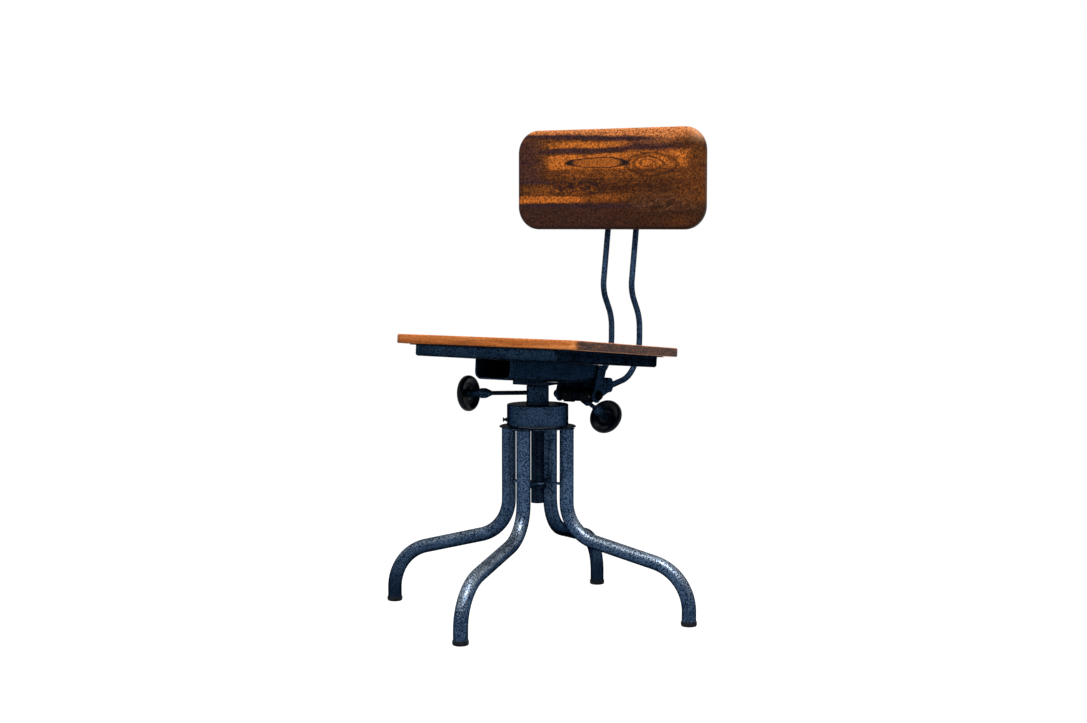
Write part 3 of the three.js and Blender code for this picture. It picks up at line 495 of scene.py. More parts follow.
def paint(name, deep, light, metallic=0.8, tops=0.0, low_shade=0.0, shaft_shade=None):
    """Old enamel with a metallic sheen: stippled and slightly mottled, with rubbed spots.

    Surfaces that face up are made paler by the share tops, as wear and painted highlight; surfaces that face down
    are darker, as painted shade.
    The lowest 120 mm is darker by the next share, as painted shade. The last argument (y, z, reach) blackens what
    is near the shaft along X at that place, as painted shade.
    """
    n = Surface(name)
    mottle = n.noise(n.coordinates, 26, 5, 0.6)
    stipple = n.noise(n.coordinates, SPECK_SCALE, 2, 0.6)
    grain = n.noise(n.coordinates, FINE_SCALE, 2, 0.5)
    tone = n.weigh((mottle, 0.2), (stipple, 0.8))
    middle = tuple(0.44 * a + 0.56 * b for a, b in zip(deep, light))
    colour = n.ramp(tone, [(0.46, deep), (0.5, middle), (0.54, light)])
    patches = n.times(n.noise(n.coordinates, 38, 6, 0.7), n.noise(n.coordinates, 9, 2))
    colour = n.lay(colour, n.smooth(patches, 0.33, 0.42), scaled(light, 1.6, 0.004), 0.3)
    if tops or low_shade:
        up = n.split(n.normals)[2]
        # Wear and painted highlight: surfaces that face up turn paler where the stipple is light.
        toned_area = n.times(n.smooth(up, 0.1, 0.6), n.smooth(tone, 0.44, 0.56))
        colour = n.lay(colour, toned_area, WEAR_AND_HIGHLIGHT, tops)
        # Painted shade: surfaces that face down turn darker.
        underside_shade = n.times(n.smooth(up, 0.0, -0.7), 0.7)
        # Painted shade: the lowest 120 mm turns darker, by its share.
        low = n.times(n.smooth(n.split(n.coordinates)[2], LOW_SHADE_TOP, LOW_SHADE_BOTTOM), low_shade)
        shade = tuple(0.5 * a + 0.02 * b for a, b in zip(deep, light))
        colour = n.mix(n.math("MAXIMUM", underside_shade, low), colour, shade)
    # Painted shade: the paint turns near black close to the shaft.
    if shaft_shade:
        shaft_y, shaft_z, reach = shaft_shade
        _, y, z = n.split(n.coordinates)
        away = n.vector("LENGTH", n.join(0.0, n.minus(y, shaft_y), n.minus(z, shaft_z)))
        colour = n.lay(colour, n.smooth(away, reach, 0.7 * reach), SHAFT_SHADE_COLOUR, 0.9)
    colour = n.lay(colour, n.smooth(grain, 0.58, 0.68), scaled(deep, 0.4), 0.2)
    height = n.weigh((stipple, 0.7), (grain, 0.3))
    return n.finish(Base_Color=colour, Metallic=metallic, Roughness=n.plus(n.times(stipple, 0.14), 0.33),
                    Specular_IOR_Level=0.0, Specular_Tint=DIM_EDGE, Normal=n.bump(height, 0.25, 0.0005))


def steel(name, colour, roughness, scratch_scales=(900, 900, 40)):
    """Turned or rolled steel with fine lines."""
    n = Surface(name)
    lines = n.stretched(n.coordinates, scratch_scales, 3, 0.6)
    blot = n.noise(n.coordinates, 60, 4)
    shade = n.mix(n.smooth(blot, 0.4, 0.7), colour, scaled(colour, 0.6))
    shade = n.lay(shade, lines, scaled(colour, 1.3), 0.3)
    return n.finish(Base_Color=shade, Metallic=1.0, Roughness=n.plus(n.times(lines, 0.2), roughness - 0.1),
                    Specular_Tint=DIM_EDGE, Normal=n.bump(lines, 0.2, 0.0002))


def plastic(name):
    """Black moulded plastic, a little dusty, with bluish specks that are painted glints."""
    n = Surface(name)
    dust = n.noise(n.coordinates, 90, 6, 0.7)
    marks = n.stretched(n.coordinates, (700, 60, 700), 2, 0.7)
    colour = n.ramp(dust, [(0.35, (0.0004, 0.0012, 0.0030)), (0.7, (0.002, 0.006, 0.014))])
    # Painted glints: bluish specks over the plastic.
    glint_specks = n.smooth(n.noise(n.coordinates, SPECK_SCALE, 2, 0.6), 0.54, 0.62)
    colour = n.lay(colour, glint_specks, (0.014, 0.036, 0.070), 0.5)
    return n.finish(Base_Color=colour, Roughness=n.plus(n.weigh((dust, 0.16), (marks, 0.1)), 0.12),
                    Specular_IOR_Level=0.06, Normal=n.bump(marks, 0.12, 0.0003))


def rubber(name):
    """Dusty black rubber."""
    n = Surface(name)
    fine = n.noise(n.coordinates, FINE_SCALE, 2)
    colour = n.ramp(n.noise(n.coordinates, 140, 5, 0.65),
                    [(0.35, (0.006, 0.007, 0.01)), (0.7, (0.028, 0.03, 0.036))])
    return n.finish(Base_Color=colour, Roughness=n.plus(n.times(fine, 0.2), 0.55),
                    Specular_IOR_Level=0.05, Normal=n.bump(fine, 0.4, 0.0004))


class Wood(Surface):
    """A wooden board's material, with the fibres, pores and streaks of a grain along X.

    The grain starts from the centre, and noise of the scales wander bends it.
    """

    def __init__(self, name, centre, wander, detail, roughness, bend, streaks, fine_streaks,
                 streak_roughness, stipple):
        super().__init__(name)
        local = self.vector("SUBTRACT", self.coordinates, centre)
        drift = self.noise(self.mapping(local, wander), 1, detail, roughness, colour=True)
        drift = self.vector("MULTIPLY", self.vector("SUBTRACT", drift, (0.5, 0.5, 0.5)), bend)
        self.place = self.vector("ADD", local, drift)
        self.fibre = self.stretched(self.place, (14, 900, 900), 4, 0.65)
        self.pores = self.smooth(self.stretched(self.place, (70, 2600, 2600), 2, 0.6), 0.6, 0.72)
        streak = self.stretched(self.place, streaks, 5, streak_roughness)
        self.fine_streak = self.stretched(self.place, fine_streaks, 4, streak_roughness)
        self.stipple = self.noise(self.coordinates, stipple, 3, 0.7)
        self.tone = self.weigh((streak, 0.5), (self.fine_streak, 0.3), (self.stipple, 0.2))

    def varnish(self, colour, roughness, fibre_share, specular):
        rough = self.plus(self.times(self.fibre, fibre_share), roughness)
        height = self.minus(self.times(self.fibre, 0.5), self.pores)
        return self.finish(Base_Color=colour, Roughness=rough, Specular_IOR_Level=specular,
                           Normal=self.bump(height, 0.3, 0.0003))


def back_wood(name, centre, half_width, half_height):
    """Dark figured wood: orange streaks, an eye of grain and dark purplish bands along the board."""
    n = Wood(name, tuple(centre), wander=(9, 9, 26), detail=4, roughness=0.6, bend=(0.04, 0.01, 0.012),
             streaks=(4, 70, 70), fine_streaks=(14, 300, 300), streak_roughness=0.65, stipple=380)
    x, _, z = n.split(n.place)
    u = n.math("DIVIDE", x, half_width)  # from -1 at the sitter's right to 1 at the left
    v = n.math("DIVIDE", z, half_height)  # from -1 at the bottom to 1 at the top

    def band(low, high, left, right, soft, side, slope=0.0):
        """A streak between two heights, v, and two places along the board, u, that may run downhill."""
        level = n.plus(v, n.times(u, slope)) if slope else v
        rise = n.smooth(level, low - soft, low + soft)
        fall = n.smooth(level, high + soft, high - soft)
        start = n.smooth(u, left - side, left + side)
        end = n.smooth(u, right + side, right - side)
        return n.times(n.times(rise, fall), n.times(start, end))

    def eye(cu, cv, reach_u, reach_v, distort):
        """1 on an oval line of grain, less inside it and more outside."""
        du = n.math("DIVIDE", n.minus(u, cu), reach_u)
        dv = n.math("DIVIDE", n.minus(v, cv), reach_v)
        bulge = n.times(n.minus(n.noise(n.place, 26, 2), 0.5), distort)
        return n.plus(n.vector("LENGTH", n.join(du, dv, 0.0)), bulge)

    colour = n.ramp(n.tone, [
        (0.36, (0.030, 0.009, 0.004)),
        (0.46, (0.072, 0.022, 0.006)),
        (0.54, (0.125, 0.042, 0.009)),
        (0.64, (0.200, 0.072, 0.014)),
    ])
    orange = n.mix(n.fine_streak, (0.42, 0.105, 0.012), (0.62, 0.20, 0.035))
    gold = n.mix(n.fine_streak, (0.42, 0.120, 0.028), (0.66, 0.25, 0.085))
    purple = n.mix(n.fine_streak, (0.014, 0.006, 0.010), (0.058, 0.026, 0.030))
    umber = n.mix(n.fine_streak, (0.022, 0.008, 0.004), (0.066, 0.025, 0.010))
    for shade, strength, streak in (
        (umber, 0.95, (-1.3, -0.42, -1.3, 1.3, 0.05, 0.2)),
        (orange, 0.22, (-0.05, 0.24, -0.60, 1.0, 0.08, 0.2)),
        (purple, 0.30, (-1.3, -0.50, -1.3, 0.25, 0.05, 0.4)),
        (umber, 0.45, (-1.3, 0.24, 0.35, 1.3, 0.10, 0.3)),
        (umber, 0.85, (-1.3, -0.50, 0.10, 1.3, 0.10, 0.3)),
        (purple, 0.65, (-0.05, 0.80, -1.3, -0.74, 0.10, 0.12)),
        (gold, 0.95, (0.84, 1.3, -1.3, 1.3, 0.035, 0.2, 0.06)),
        (gold, 0.55, (0.70, 0.86, 0.30, 0.80, 0.05, 0.2)),
        (purple, 0.95, (0.76, 0.85, -1.1, 0.55, 0.030, 0.2, 0.07)),
        (purple, 0.60, (0.66, 0.80, 0.05, 0.75, 0.050, 0.2, 0.16)),
        (orange, 0.85, (0.64, 0.74, -0.64, 0.20, 0.025, 0.12)),
        (purple, 0.85, (0.53, 0.63, -0.74, 0.20, 0.030, 0.15)),
        (purple, 0.60, (0.60, 0.72, 0.10, 0.72, 0.045, 0.15, 0.14)),
        (orange, 0.90, (0.20, 0.50, -0.66, 0.20, 0.030, 0.06, -0.02)),
        (orange, 0.80, (0.22, 0.54, 0.18, 0.84, 0.060, 0.05)),
        (umber, 0.60, (0.36, 0.60, 0.62, 0.95, 0.100, 0.12, -0.30)),
        (purple, 0.80, (-0.08, -0.01, -1.3, -0.60, 0.030, 0.12)),
        (umber, 0.55, (-0.04, 0.02, -0.70, 0.70, 0.040, 0.20)),
        (orange, 0.26, (-0.30, -0.12, -0.80, -0.20, 0.060, 0.15)),
        (orange, 0.95, (-0.47, -0.33, -1.3, -0.28, 0.030, 0.10)),
        (orange, 0.30, (-0.46, -0.30, -0.25, 0.12, 0.060, 0.15)),
        (purple, 0.75, (-0.57, -0.50, -1.3, 0.30, 0.025, 0.25)),
        (orange, 0.10, (-0.50, -0.05, 0.72, 1.3, 0.100, 0.15)),
        (orange, 0.06, (-0.88, -0.74, 0.62, 0.90, 0.080, 0.15)),
    ):
        colour = n.lay(colour, band(*streak), shade, strength)

    bright = n.mix(1.0, colour, (1.85, 1.75, 1.6), "MULTIPLY")
    colour = n.lay(colour, n.smooth(n.stipple, 0.50, 0.56), bright, 0.85)
    dark = n.mix(1.0, colour, (0.30, 0.26, 0.34), "MULTIPLY")
    colour = n.lay(colour, n.smooth(n.stipple, 0.50, 0.44), dark, 0.85)
    for oval in ((0.42, 0.31, 0.08, 0.07), (0.43, 0.29, 0.15, 0.14), (0.46, 0.27, 0.25, 0.22)):
        curl = eye(*oval, 0.3)
        arc = n.times(n.smooth(curl, 0.80, 0.98), n.smooth(curl, 1.20, 1.0))
        colour = n.lay(colour, arc, (0.035, 0.011, 0.005), 0.75)
    waves = n.math("SINE", n.weigh((u, 95), (v, 22)))
    waves = n.times(n.smooth(waves, 0.2, 0.9), band(0.26, 0.38, 0.64, 0.80, 0.03, 0.04))
    colour = n.lay(colour, waves, (0.15, 0.05, 0.012), 0.7)
    knots = n.smooth(n.stretched(n.place, (90, 190, 190), 2, 0.5, 1.2), 0.46, 0.52)
    knots = n.times(knots, band(-0.27, -0.02, -0.62, 0.00, 0.06, 0.12))
    colour = n.lay(colour, knots, (0.012, 0.005, 0.007), 0.9)
    curls = n.stretched(n.place, (15, 46, 46), 2, 0.5, 2.0)
    vein = n.times(n.smooth(curls, 0.45, 0.50), n.smooth(curls, 0.55, 0.50))
    for zone, shade, strength in (
        ((-0.62, -0.30, 0.25, 0.95, 0.08, 0.15), (0.21, 0.090, 0.042), 0.6),
        ((0.18, 0.56, 0.20, 0.92, 0.06, 0.12), (0.060, 0.020, 0.008), 0.6),
        ((-0.34, 0.16, -0.70, 0.95, 0.10, 0.15), (0.030, 0.010, 0.006), 0.65),
    ):
        colour = n.lay(colour, n.times(vein, band(*zone)), shade, strength)

    ring = eye(-0.120, 0.325, 0.320, 0.100, 0.06)
    line = n.times(n.smooth(ring, 0.82, 0.92), n.smooth(ring, 1.16, 1.02))
    thick = n.times(n.smooth(ring, 0.68, 0.84), n.smooth(ring, 1.18, 1.02))
    ends = n.smooth(n.math("ABSOLUTE", n.plus(u, 0.120)), 0.18, 0.28)
    eye_mark = n.math("MAXIMUM", n.times(line, 0.9), n.times(thick, ends))
    colour = n.mix(eye_mark, colour, (0.012, 0.007, 0.007))
    colour = n.lay(colour, n.smooth(ring, 0.95, 0.80), (0.20, 0.062, 0.014), 0.45)
    colour = n.lay(colour, n.pores, (0.018, 0.007, 0.005), 0.4)
    # Paler towards the top corner at the sitter's left.
    toned_area = n.times(n.smooth(u, 0.80, 0.98), n.smooth(v, 0.62, 0.95))
    colour = n.lay(colour, toned_area, (0.78, 0.42, 0.24), 0.6)
    # Painted shade: the board darkens along its bottom edge and its edge at the sitter's right.
    edge_shade = n.math("MAXIMUM", n.smooth(v, -0.88, -1.0), n.smooth(u, -0.93, -1.0))
    colour = n.lay(colour, edge_shade, (0.020, 0.008, 0.008), 0.6)
    return n.varnish(colour, roughness=0.36, fibre_share=0.18, specular=0.07)


def seat_wood(name):
    """Orange-brown wood whose grain runs from side to side, with the two side edges darker as end grain and as
    painted shade.
    """
    n = Wood(name, (0, 0, 0), wander=(4, 9, 9), detail=3, roughness=0.55, bend=(0.04, 0.03, 0.008),
             streaks=(3, 34, 60), fine_streaks=(10, 210, 320), streak_roughness=0.6, stipple=270)
    colour = n.ramp(n.tone, [
        (0.38, (0.28, 0.070, 0.014)),
        (0.46, (0.52, 0.150, 0.034)),
        (0.54, (0.74, 0.250, 0.068)),
        (0.62, (0.92, 0.420, 0.160)),
    ])
    colour = n.lay(colour, n.pores, (0.13, 0.04, 0.014), 0.4)
    toned_area = n.smooth(n.noise(n.coordinates, 11, 4, 0.6), 0.5, 0.66)
    colour = n.lay(colour, toned_area, (0.33, 0.12, 0.045), 0.3)
    colour = n.lay(colour, n.smooth(n.stipple, 0.46, 0.36), (0.20, 0.055, 0.016), 0.4)
    rings = n.stretched(n.coordinates, (40, 26, 190), 3, 0.6)
    end_grain_and_shade = n.ramp(n.weigh((n.stipple, 0.6), (rings, 0.4)), [
        (0.40, (0.020, 0.010, 0.008)),
        (0.5, (0.075, 0.034, 0.024)),
        (0.60, (0.25, 0.105, 0.055)),
    ])
    # The side edges are darker: end grain, and painted shade.
    sideways = n.math("ABSOLUTE", n.split(n.new("NewGeometry").outputs["Normal"])[0])
    colour = n.mix(n.smooth(sideways, 0.55, 0.9), colour, end_grain_and_shade)
    return n.varnish(colour, roughness=0.4, fibre_share=0.16, specular=0.1)


BACK_HALF_WIDTH, BACK_HALF_HEIGHT = 213.4, 101.1
BACK_CORNER = 46.8
BACK_THICKNESS = 19
BACK_OFFSET = 52.8  # from the pivot bar forward to the board's middle plane
BACK_RISE = 10.7
BACK_CENTRE = (ON_BACK @ Vector((0, -BACK_OFFSET, BACK_RISE))) * MM
# How far from the cross shaft the painted shade reaches.
SHAFT_SHADE_REACH = 0.020

DEEP_BLUE, SHADED_BLUE = (0.005, 0.014, 0.036), ((0.002, 0.007, 0.018), (0.026, 0.058, 0.110))
PAINT = paint("paint", DEEP_BLUE, (0.062, 0.108, 0.184))
# A lit copy for the front and left legs, and a painted-shade copy for the others that is darker, with less painted
# highlight and more painted shade towards the floor.
LIT_LEG_PAINT = paint("leg_paint", DEEP_BLUE, (0.064, 0.112, 0.192), tops=0.68, low_shade=0.3)
SHADED_LEG_PAINT = paint("shaded_leg_paint", (0.004, 0.012, 0.031), (0.054, 0.095, 0.163), tops=0.38, low_shade=0.9)
# Darker copies of the paint are painted shade: the tray under the seat is the darkest, the shaded paint covers the
# beam, hangers and boss, and a half-shaded copy covers the collar, flange and rods.
SHADED_TRAY_PAINT = paint("shaded_tray_paint", (0.001, 0.004, 0.011), (0.015, 0.034, 0.064), metallic=0.4)
HALF_SHADED_PAINT = paint("half_shaded_paint", (0.003, 0.009, 0.024), (0.032, 0.062, 0.115))
SHADED_PAINT = paint("shaded_paint", *SHADED_BLUE, metallic=0.4)
# The arm turns near black round the cross shaft: painted shade.
ARM_PAINT = paint("arm_paint", *SHADED_BLUE, metallic=0.4,
                  shaft_shade=(*joints["back_rake"]["pos_m"][1:], SHAFT_SHADE_REACH))
DARK_PAINT = paint("dark_paint", (0.002, 0.005, 0.012), (0.015, 0.030, 0.055), metallic=0.4)
# Near-black paint for the cross shaft's nuts and caps, standing for the shade round the pivot: painted shade.
BLACK_PAINT = paint("black_paint", (0.0008, 0.0012, 0.0022), (0.005, 0.008, 0.014), metallic=0.4)
BRIGHT = steel("bright_steel", (0.42, 0.43, 0.45), 0.3)
SPRING_STEEL = steel("spring_steel", (0.006, 0.007, 0.010), 0.42, (400, 400, 400))
BRASS = steel("brass", (0.62, 0.45, 0.16), 0.32)
PLASTIC = plastic("black_plastic")
RUBBER = rubber("rubber")
SEAT_WOOD = seat_wood("seat_wood")
BACK_WOOD = back_wood("back_wood", BACK_CENTRE, BACK_HALF_WIDTH * MM, BACK_HALF_HEIGHT * MM)

SLOT_MATERIAL = {
    "paint": PAINT, "dark_steel": DARK_PAINT, "bright_steel": BRIGHT, "brass": BRASS,
    "spring_steel": SPRING_STEEL, "black_plastic": PLASTIC, "rubber": RUBBER,
    "seat_wood": SEAT_WOOD, "back_wood": BACK_WOOD,
}
for entry in frame["record"]["subparts"]:
    materials = frame["nodes"][entry["node"]].data.materials
    materials.clear()
    materials.append(SLOT_MATERIAL[entry["material_slot"]])


# Base

LEG_RADIUS = 13.45
FOOT_CIRCLE = 304
LEG_CIRCLE = 59.5
FLANGE_LOW, FLANGE_TOP = 356, 359
SPREAD_HEIGHT = 158
LEG_SLOPE = rad(14.1)
FERRULE_RADIUS = 15.05
FERRULE_HEIGHT = 9.5
FERRULE_FLOOR = 3
COLUMN_BORE = 13.2
LIT_LEGS = ("front", "left")


def leg_shape():
    foot_corner = SPREAD_HEIGHT - (FOOT_CIRCLE - LEG_CIRCLE) * math.tan(LEG_SLOPE)
    corners = [(LEG_CIRCLE, 0, FLANGE_LOW), (LEG_CIRCLE, 0, SPREAD_HEIGHT),
               (FOOT_CIRCLE, 0, foot_corner), (FOOT_CIRCLE, 0, FERRULE_FLOOR + 1)]
    return sweep(densify(bent_path(corners, (75, 90), 28), 12), LEG_RADIUS, 56)


def ferrule_shape():
    r, h, bore = FERRULE_RADIUS, FERRULE_HEIGHT, LEG_RADIUS + 0.1
    profile = fillet([(0, 0), (r - 3.2, 0), (r - 1.2, 0.6), (r, 3.4), (r - 0.25, h - 1.8), (r - 0.9, h),
                      (bore, h - 0.3), (bore, FERRULE_FLOOR)], [1.5, 1.5, 2, 1, 0.5, 0], 4)
    return revolve(profile + [(0, FERRULE_FLOOR)], 64)


def weld_shape(radius, height, size, seed):
    """A bead of weld round a tube, with ripples."""
    around = full_turn(96)
    widths = [size * (0.86 + 0.14 * math.sin(angle * 30 + seed)
                      + 0.2 * noise.noise((math.cos(angle) * 3, seed, math.sin(angle) * 3)))
              for angle in around]
    return loft([[polar(radius + width * (1 - math.sin(t)), angle, height - width * (1 - math.cos(t)))
                  for angle, width in zip(around, widths)] for t in quarter_turn(7)], cap=False)


for index, (name, skew) in enumerate(LEG_SKEWS.items()):
    here = ON_BASE @ turn((index - 1) * PI / 2 + rad(skew), "Z")
    foot, top = here @ shift(FOOT_CIRCLE, 0, 0), here @ shift(LEG_CIRCLE, 0, 0)
    # The front and left legs take the lit paint, and the others take the painted-shade copy.
    leg_paint = LIT_LEG_PAINT if name in LIT_LEGS else SHADED_LEG_PAINT
    weld = weld_shape(LEG_RADIUS - 0.05, FLANGE_LOW, 2.6, index)
    piece(f"tube_{name}", leg_shape(), here, "base", leg_paint, [f"leg_{name}"])
    piece(f"foot_{name}", ferrule_shape(), foot, "base", RUBBER, [f"ferrule_{name}"])
    piece(f"weld_{name}", weld, top, "base", PAINT, recalc=False)

flange = closed(fillet([
    (COLUMN_BORE, FLANGE_LOW), (66.5, FLANGE_LOW), (69.4, FLANGE_LOW + 0.9), (72.7, FLANGE_LOW + 1.4),
    (72.7, FLANGE_TOP), (68.4, FLANGE_TOP), (COLUMN_BORE, FLANGE_TOP),
], [1, 1, 0.6, 0.7, 0.4], 4))
piece("flange_plate", revolve(flange, 128), ON_BASE, "base", HALF_SHADED_PAINT, ["leg_flange"])


# Swivel

COLLAR_LOW, COLLAR_TOP = 361, 400.6
COLLAR_RADIUS, COLLAR_INNER = 58.3, 50.3
BOSS_RADIUS = 21.2
BOSS_LOW, BOSS_TOP = COLLAR_TOP + 0.3, 437
NIPPLE_HEIGHT = 370.7
NIPPLE_TURN = rad(211.2)

collar = fillet([(COLLAR_INNER, COLLAR_LOW), (COLLAR_RADIUS, COLLAR_LOW), (COLLAR_RADIUS, COLLAR_TOP),
                 (COLUMN_BORE, COLLAR_TOP)], [0.8, 2.2], 6)
collar += [(COLUMN_BORE, 368.6), (22, 368.6), (22, 386.6), (COLLAR_INNER, 386.6), (COLLAR_INNER, COLLAR_LOW)]
piece("collar_drum", revolve(collar, 128), ON_COLUMN, "swivel", HALF_SHADED_PAINT, ["swivel_collar"])

boss = fillet([(13, BOSS_LOW), (BOSS_RADIUS, BOSS_LOW), (BOSS_RADIUS, BOSS_TOP), (13, BOSS_TOP)],
              [0.4, 5.2], 8)
piece("post_boss", revolve(closed(boss), 96), ON_COLUMN, "swivel", SHADED_PAINT, ["clamp_boss"])
upside_down = ON_COLUMN @ shift(0, 0, BOSS_LOW + COLLAR_TOP) @ turn(PI, "X")
piece("post_weld", weld_shape(BOSS_RADIUS - 0.05, BOSS_LOW, 2.2, 7), upside_down, "swivel", PAINT,
      recalc=False)

tube = fillet([(10.3, 212), (12.7, 212), (12.7, 435.4), (10.3, 435.4)], [0.5, 0.5], 3)
piece("inner_tube", revolve(closed(tube), 64), ON_COLUMN, "swivel", DARK_PAINT, ["swivel_tube"])

nipple = fillet([(0, 53.5), (2.6, 53.5), (2.6, 58.4), (4.2, 58.6), (4.2, 59.6), (1.9, 62.4), (4.4, 65),
                 (4.4, 66.2), (0, 66.2)], [0.2, 0.2, 0.3, 0.3, 1.4, 0.3, 0.3], 4)
outwards = ON_COLUMN @ shift(0, 0, NIPPLE_HEIGHT) @ turn(NIPPLE_TURN, "Z") @ turn(PI / 2, "Y")
piece("nipple_piece", revolve(nipple, 32), outwards, "swivel", DARK_PAINT, ["grease_nipple"])


# Lock screws

SCREW_RADIUS = 4.25
THREAD_PITCH, THREAD_DEPTH = 1.25, 0.42
HEIGHT_WHEEL = 156.7
RAKE_WHEEL = 124.5


def threaded_rod(start, end):
    """A rod with a rolled thread, as one surface of rising ridges."""
    sides, steps_per_turn = 28, 6
    count = int((end - start) / THREAD_PITCH * steps_per_turn)
    loops = []
    for i in range(count + 1):
        fade = min(1, min(i, count - i) / steps_per_turn)
        loop = []
        for k, angle in enumerate(full_turn(sides)):
            ridge = 1 - abs(2 * ((i / steps_per_turn - k / sides) % 1) - 1)
            r = SCREW_RADIUS - THREAD_DEPTH * fade * (1 - min(1, max(0, 1.6 * ridge - 0.3)))
            loop.append(polar(r, angle, start + (end - start) * i / count))
        loops.append(loop)
    return loft(loops)


def wheel_shape(at):
    """A dished handwheel: a full round rim, a thin web and a raised middle on the outside."""
    profile = fillet([
        (4.6, -2.4), (9.0, -2.6), (13.5, -1.0), (21, -1.6), (26.2, -4.6), (29.4, -6.5), (33.2, -5.8),
        (35, -2.0), (35, 2.6), (32.8, 6.0), (28, 6.5), (20, 5.0), (12, 6.1), (8.5, 6.5), (4.6, 6.5),
    ], [1, 2, 3, 3, 2.2, 3, 2.5, 2.5, 3, 3, 5, 4, 2], 6)
    return revolve([(r, z + at) for r, z in closed(profile)], 128)


def hub_shape(at):
    tip = at - 51.5
    profile = fillet([
        (4.5, tip), (5.4, tip), (6.2, tip + 2.5), (9.85, tip + 12), (9.85, tip + 22), (7.4, tip + 24.6),
        (7.2, tip + 27), (7.0, at - 6), (8.6, at - 2.8), (4.5, at - 2.8),
    ], [0.4, 2, 4, 1.2, 1.6, 1.5, 2, 0.4], 6)
    return revolve(closed(profile), 64)


def nut_shape(inner, outer, low, high):
    """A six-sided nut with turned corners."""
    around = full_turn(96)
    flats = [outer * math.cos(PI / 6) / math.cos((angle % (PI / 3)) - PI / 6) for angle in around]
    levels = ((low, 0.87), (low + 0.5, 0.95), (low + 1.1, 1.02),
              (high - 1.1, 1.02), (high - 0.5, 0.95), (high, 0.87))
    loops = [[polar(min(flat, outer * share), angle, z) for angle, flat in zip(around, flats)]
             for z, share in levels]
    loops += [[polar(inner, angle, z) for angle in around] for z in (high, low)]
    return loft(loops + [loops[0]], cap=False)


for label, here, at, start, thread_end in (
    ("height", ON_HEIGHT, HEIGHT_WHEEL, 15, 104),
    ("rake", ON_RAKE, RAKE_WHEEL, 11, 72),
):
    body = f"{label}_lock"
    end = at + 11.6
    plain = [(0, thread_end), (4.2, thread_end), (4.2, at + 11), (3.6, end), (0, end)]
    rod = threaded_rod(start, thread_end).merge(revolve(plain, 32))
    piece(f"{label}_thread", rod, here, body, DARK_PAINT, [f"{label}_screw"])
    piece(f"{label}_socket", hub_shape(at), here, body, SHADED_PAINT, [f"{label}_hub"])
    piece(f"{label}_wheel", wheel_shape(at), here, body, PLASTIC, [f"{label}_handwheel"])
    piece(f"{label}_nut", nut_shape(4.4, 8, at + 6.8, at + 11.5), here, body, DARK_PAINT,
          [f"{label}_wheel_nut"], sharp=30)


# Seat

SEAT = dict(half_width=197, low=-193, high=212, corner=20)
SEAT_THICKNESS = 17
TRAY = dict(half_width=151, low=-189, high=207, corner=8)
TRAY_TOP, TRAY_BOTTOM = -17.3, -39
TRAY_WALL = 1.6
TRAY_FOLD = 5
LIP_REACH = 166
BEAM_HALF_WIDTH = 39
BEAM_CORNER = 14
BEAM_WALL = 3
BEAM_TOP = -39.3
BEAM_STATIONS = ((-152, 37), (60, 37), (168, 32))  # the place along Y and the depth there
COVER_CORNERS = [(-150.5, -68.4), (118, -66.4), (118, -41.2), (-150.5, -41.2)]
HANGER = [(154, 406, 14.5), (162, 463.2, 2), (190, 460.6, 2)]
HANGER_INNER, HANGER_OUTER = 39.3, 43.8


def board_shape(half_width, low, high, corner, thickness, lower_edge, upper_edge, wave, straight):
    """A board with rounded edges and a very slightly uneven face, between z = 0 and its thickness."""
    turns = quarter_turn(8)
    levels = [(lower_edge * (1 - math.sin(t)), lower_edge * (1 - math.cos(t))) for t in turns]
    levels += [(upper_edge * (1 - math.cos(t)), thickness - upper_edge * (1 - math.sin(t))) for t in turns]
    middle = Vector((0, (low + high) / 2))
    loops = []
    for inset, z in levels:
        loop = []
        for x, y in rounded_rectangle(half_width, low, high, corner, inset, 14, straight):
            dent = wave * (0.5 + 0.5 * noise.noise((x * 0.02, y * 0.02, z * 0.1)))
            inward = (middle - Vector((x, y))).normalized() * dent
            loop.append((x + inward.x, y + inward.y, z))
        loops.append(loop)
    return loft(loops)


def tray_shape():
    turns = quarter_turn(6)
    inner = TRAY_FOLD - TRAY_WALL
    levels = [(TRAY_FOLD * (1 - math.sin(t)), TRAY_BOTTOM + TRAY_FOLD * (1 - math.cos(t))) for t in turns]
    levels += [(0, TRAY_TOP - 0.5), (0.4, TRAY_TOP), (TRAY_WALL - 0.4, TRAY_TOP), (TRAY_WALL, TRAY_TOP - 0.5)]
    levels += [(TRAY_WALL + inner * (1 - math.sin(t)), TRAY_BOTTOM + TRAY_WALL + inner * (1 - math.cos(t)))
               for t in reversed(turns)]
    return loft([[(x, y, z) for x, y in rounded_rectangle(**TRAY, inset=inset, steps=8, straight=10)]
                 for inset, z in levels])


def lip_shape(side):
    """The turned-out lip along one side of the tray."""
    front, rear = TRAY["low"] + 6, TRAY["high"] - 6
    below = TRAY_TOP - TRAY_WALL
    section = fillet([(149.6, -23), (149.6, TRAY_TOP), (LIP_REACH, TRAY_TOP)], [2.4], 6)
    section.append((LIP_REACH + 0.1, TRAY_TOP - 0.8))
    section += fillet([(LIP_REACH, below), (151.2, below), (151.2, -23)], [1.2], 6)
    ends = ((front, 1.5), (front + 0.8, 0.4), (front + 3, 0), (rear - 3, 0), (rear - 0.8, 0.4), (rear, 1.5))
    return loft([[(side * min(x, LIP_REACH - back), y, z) for x, z in section] for y, back in ends])


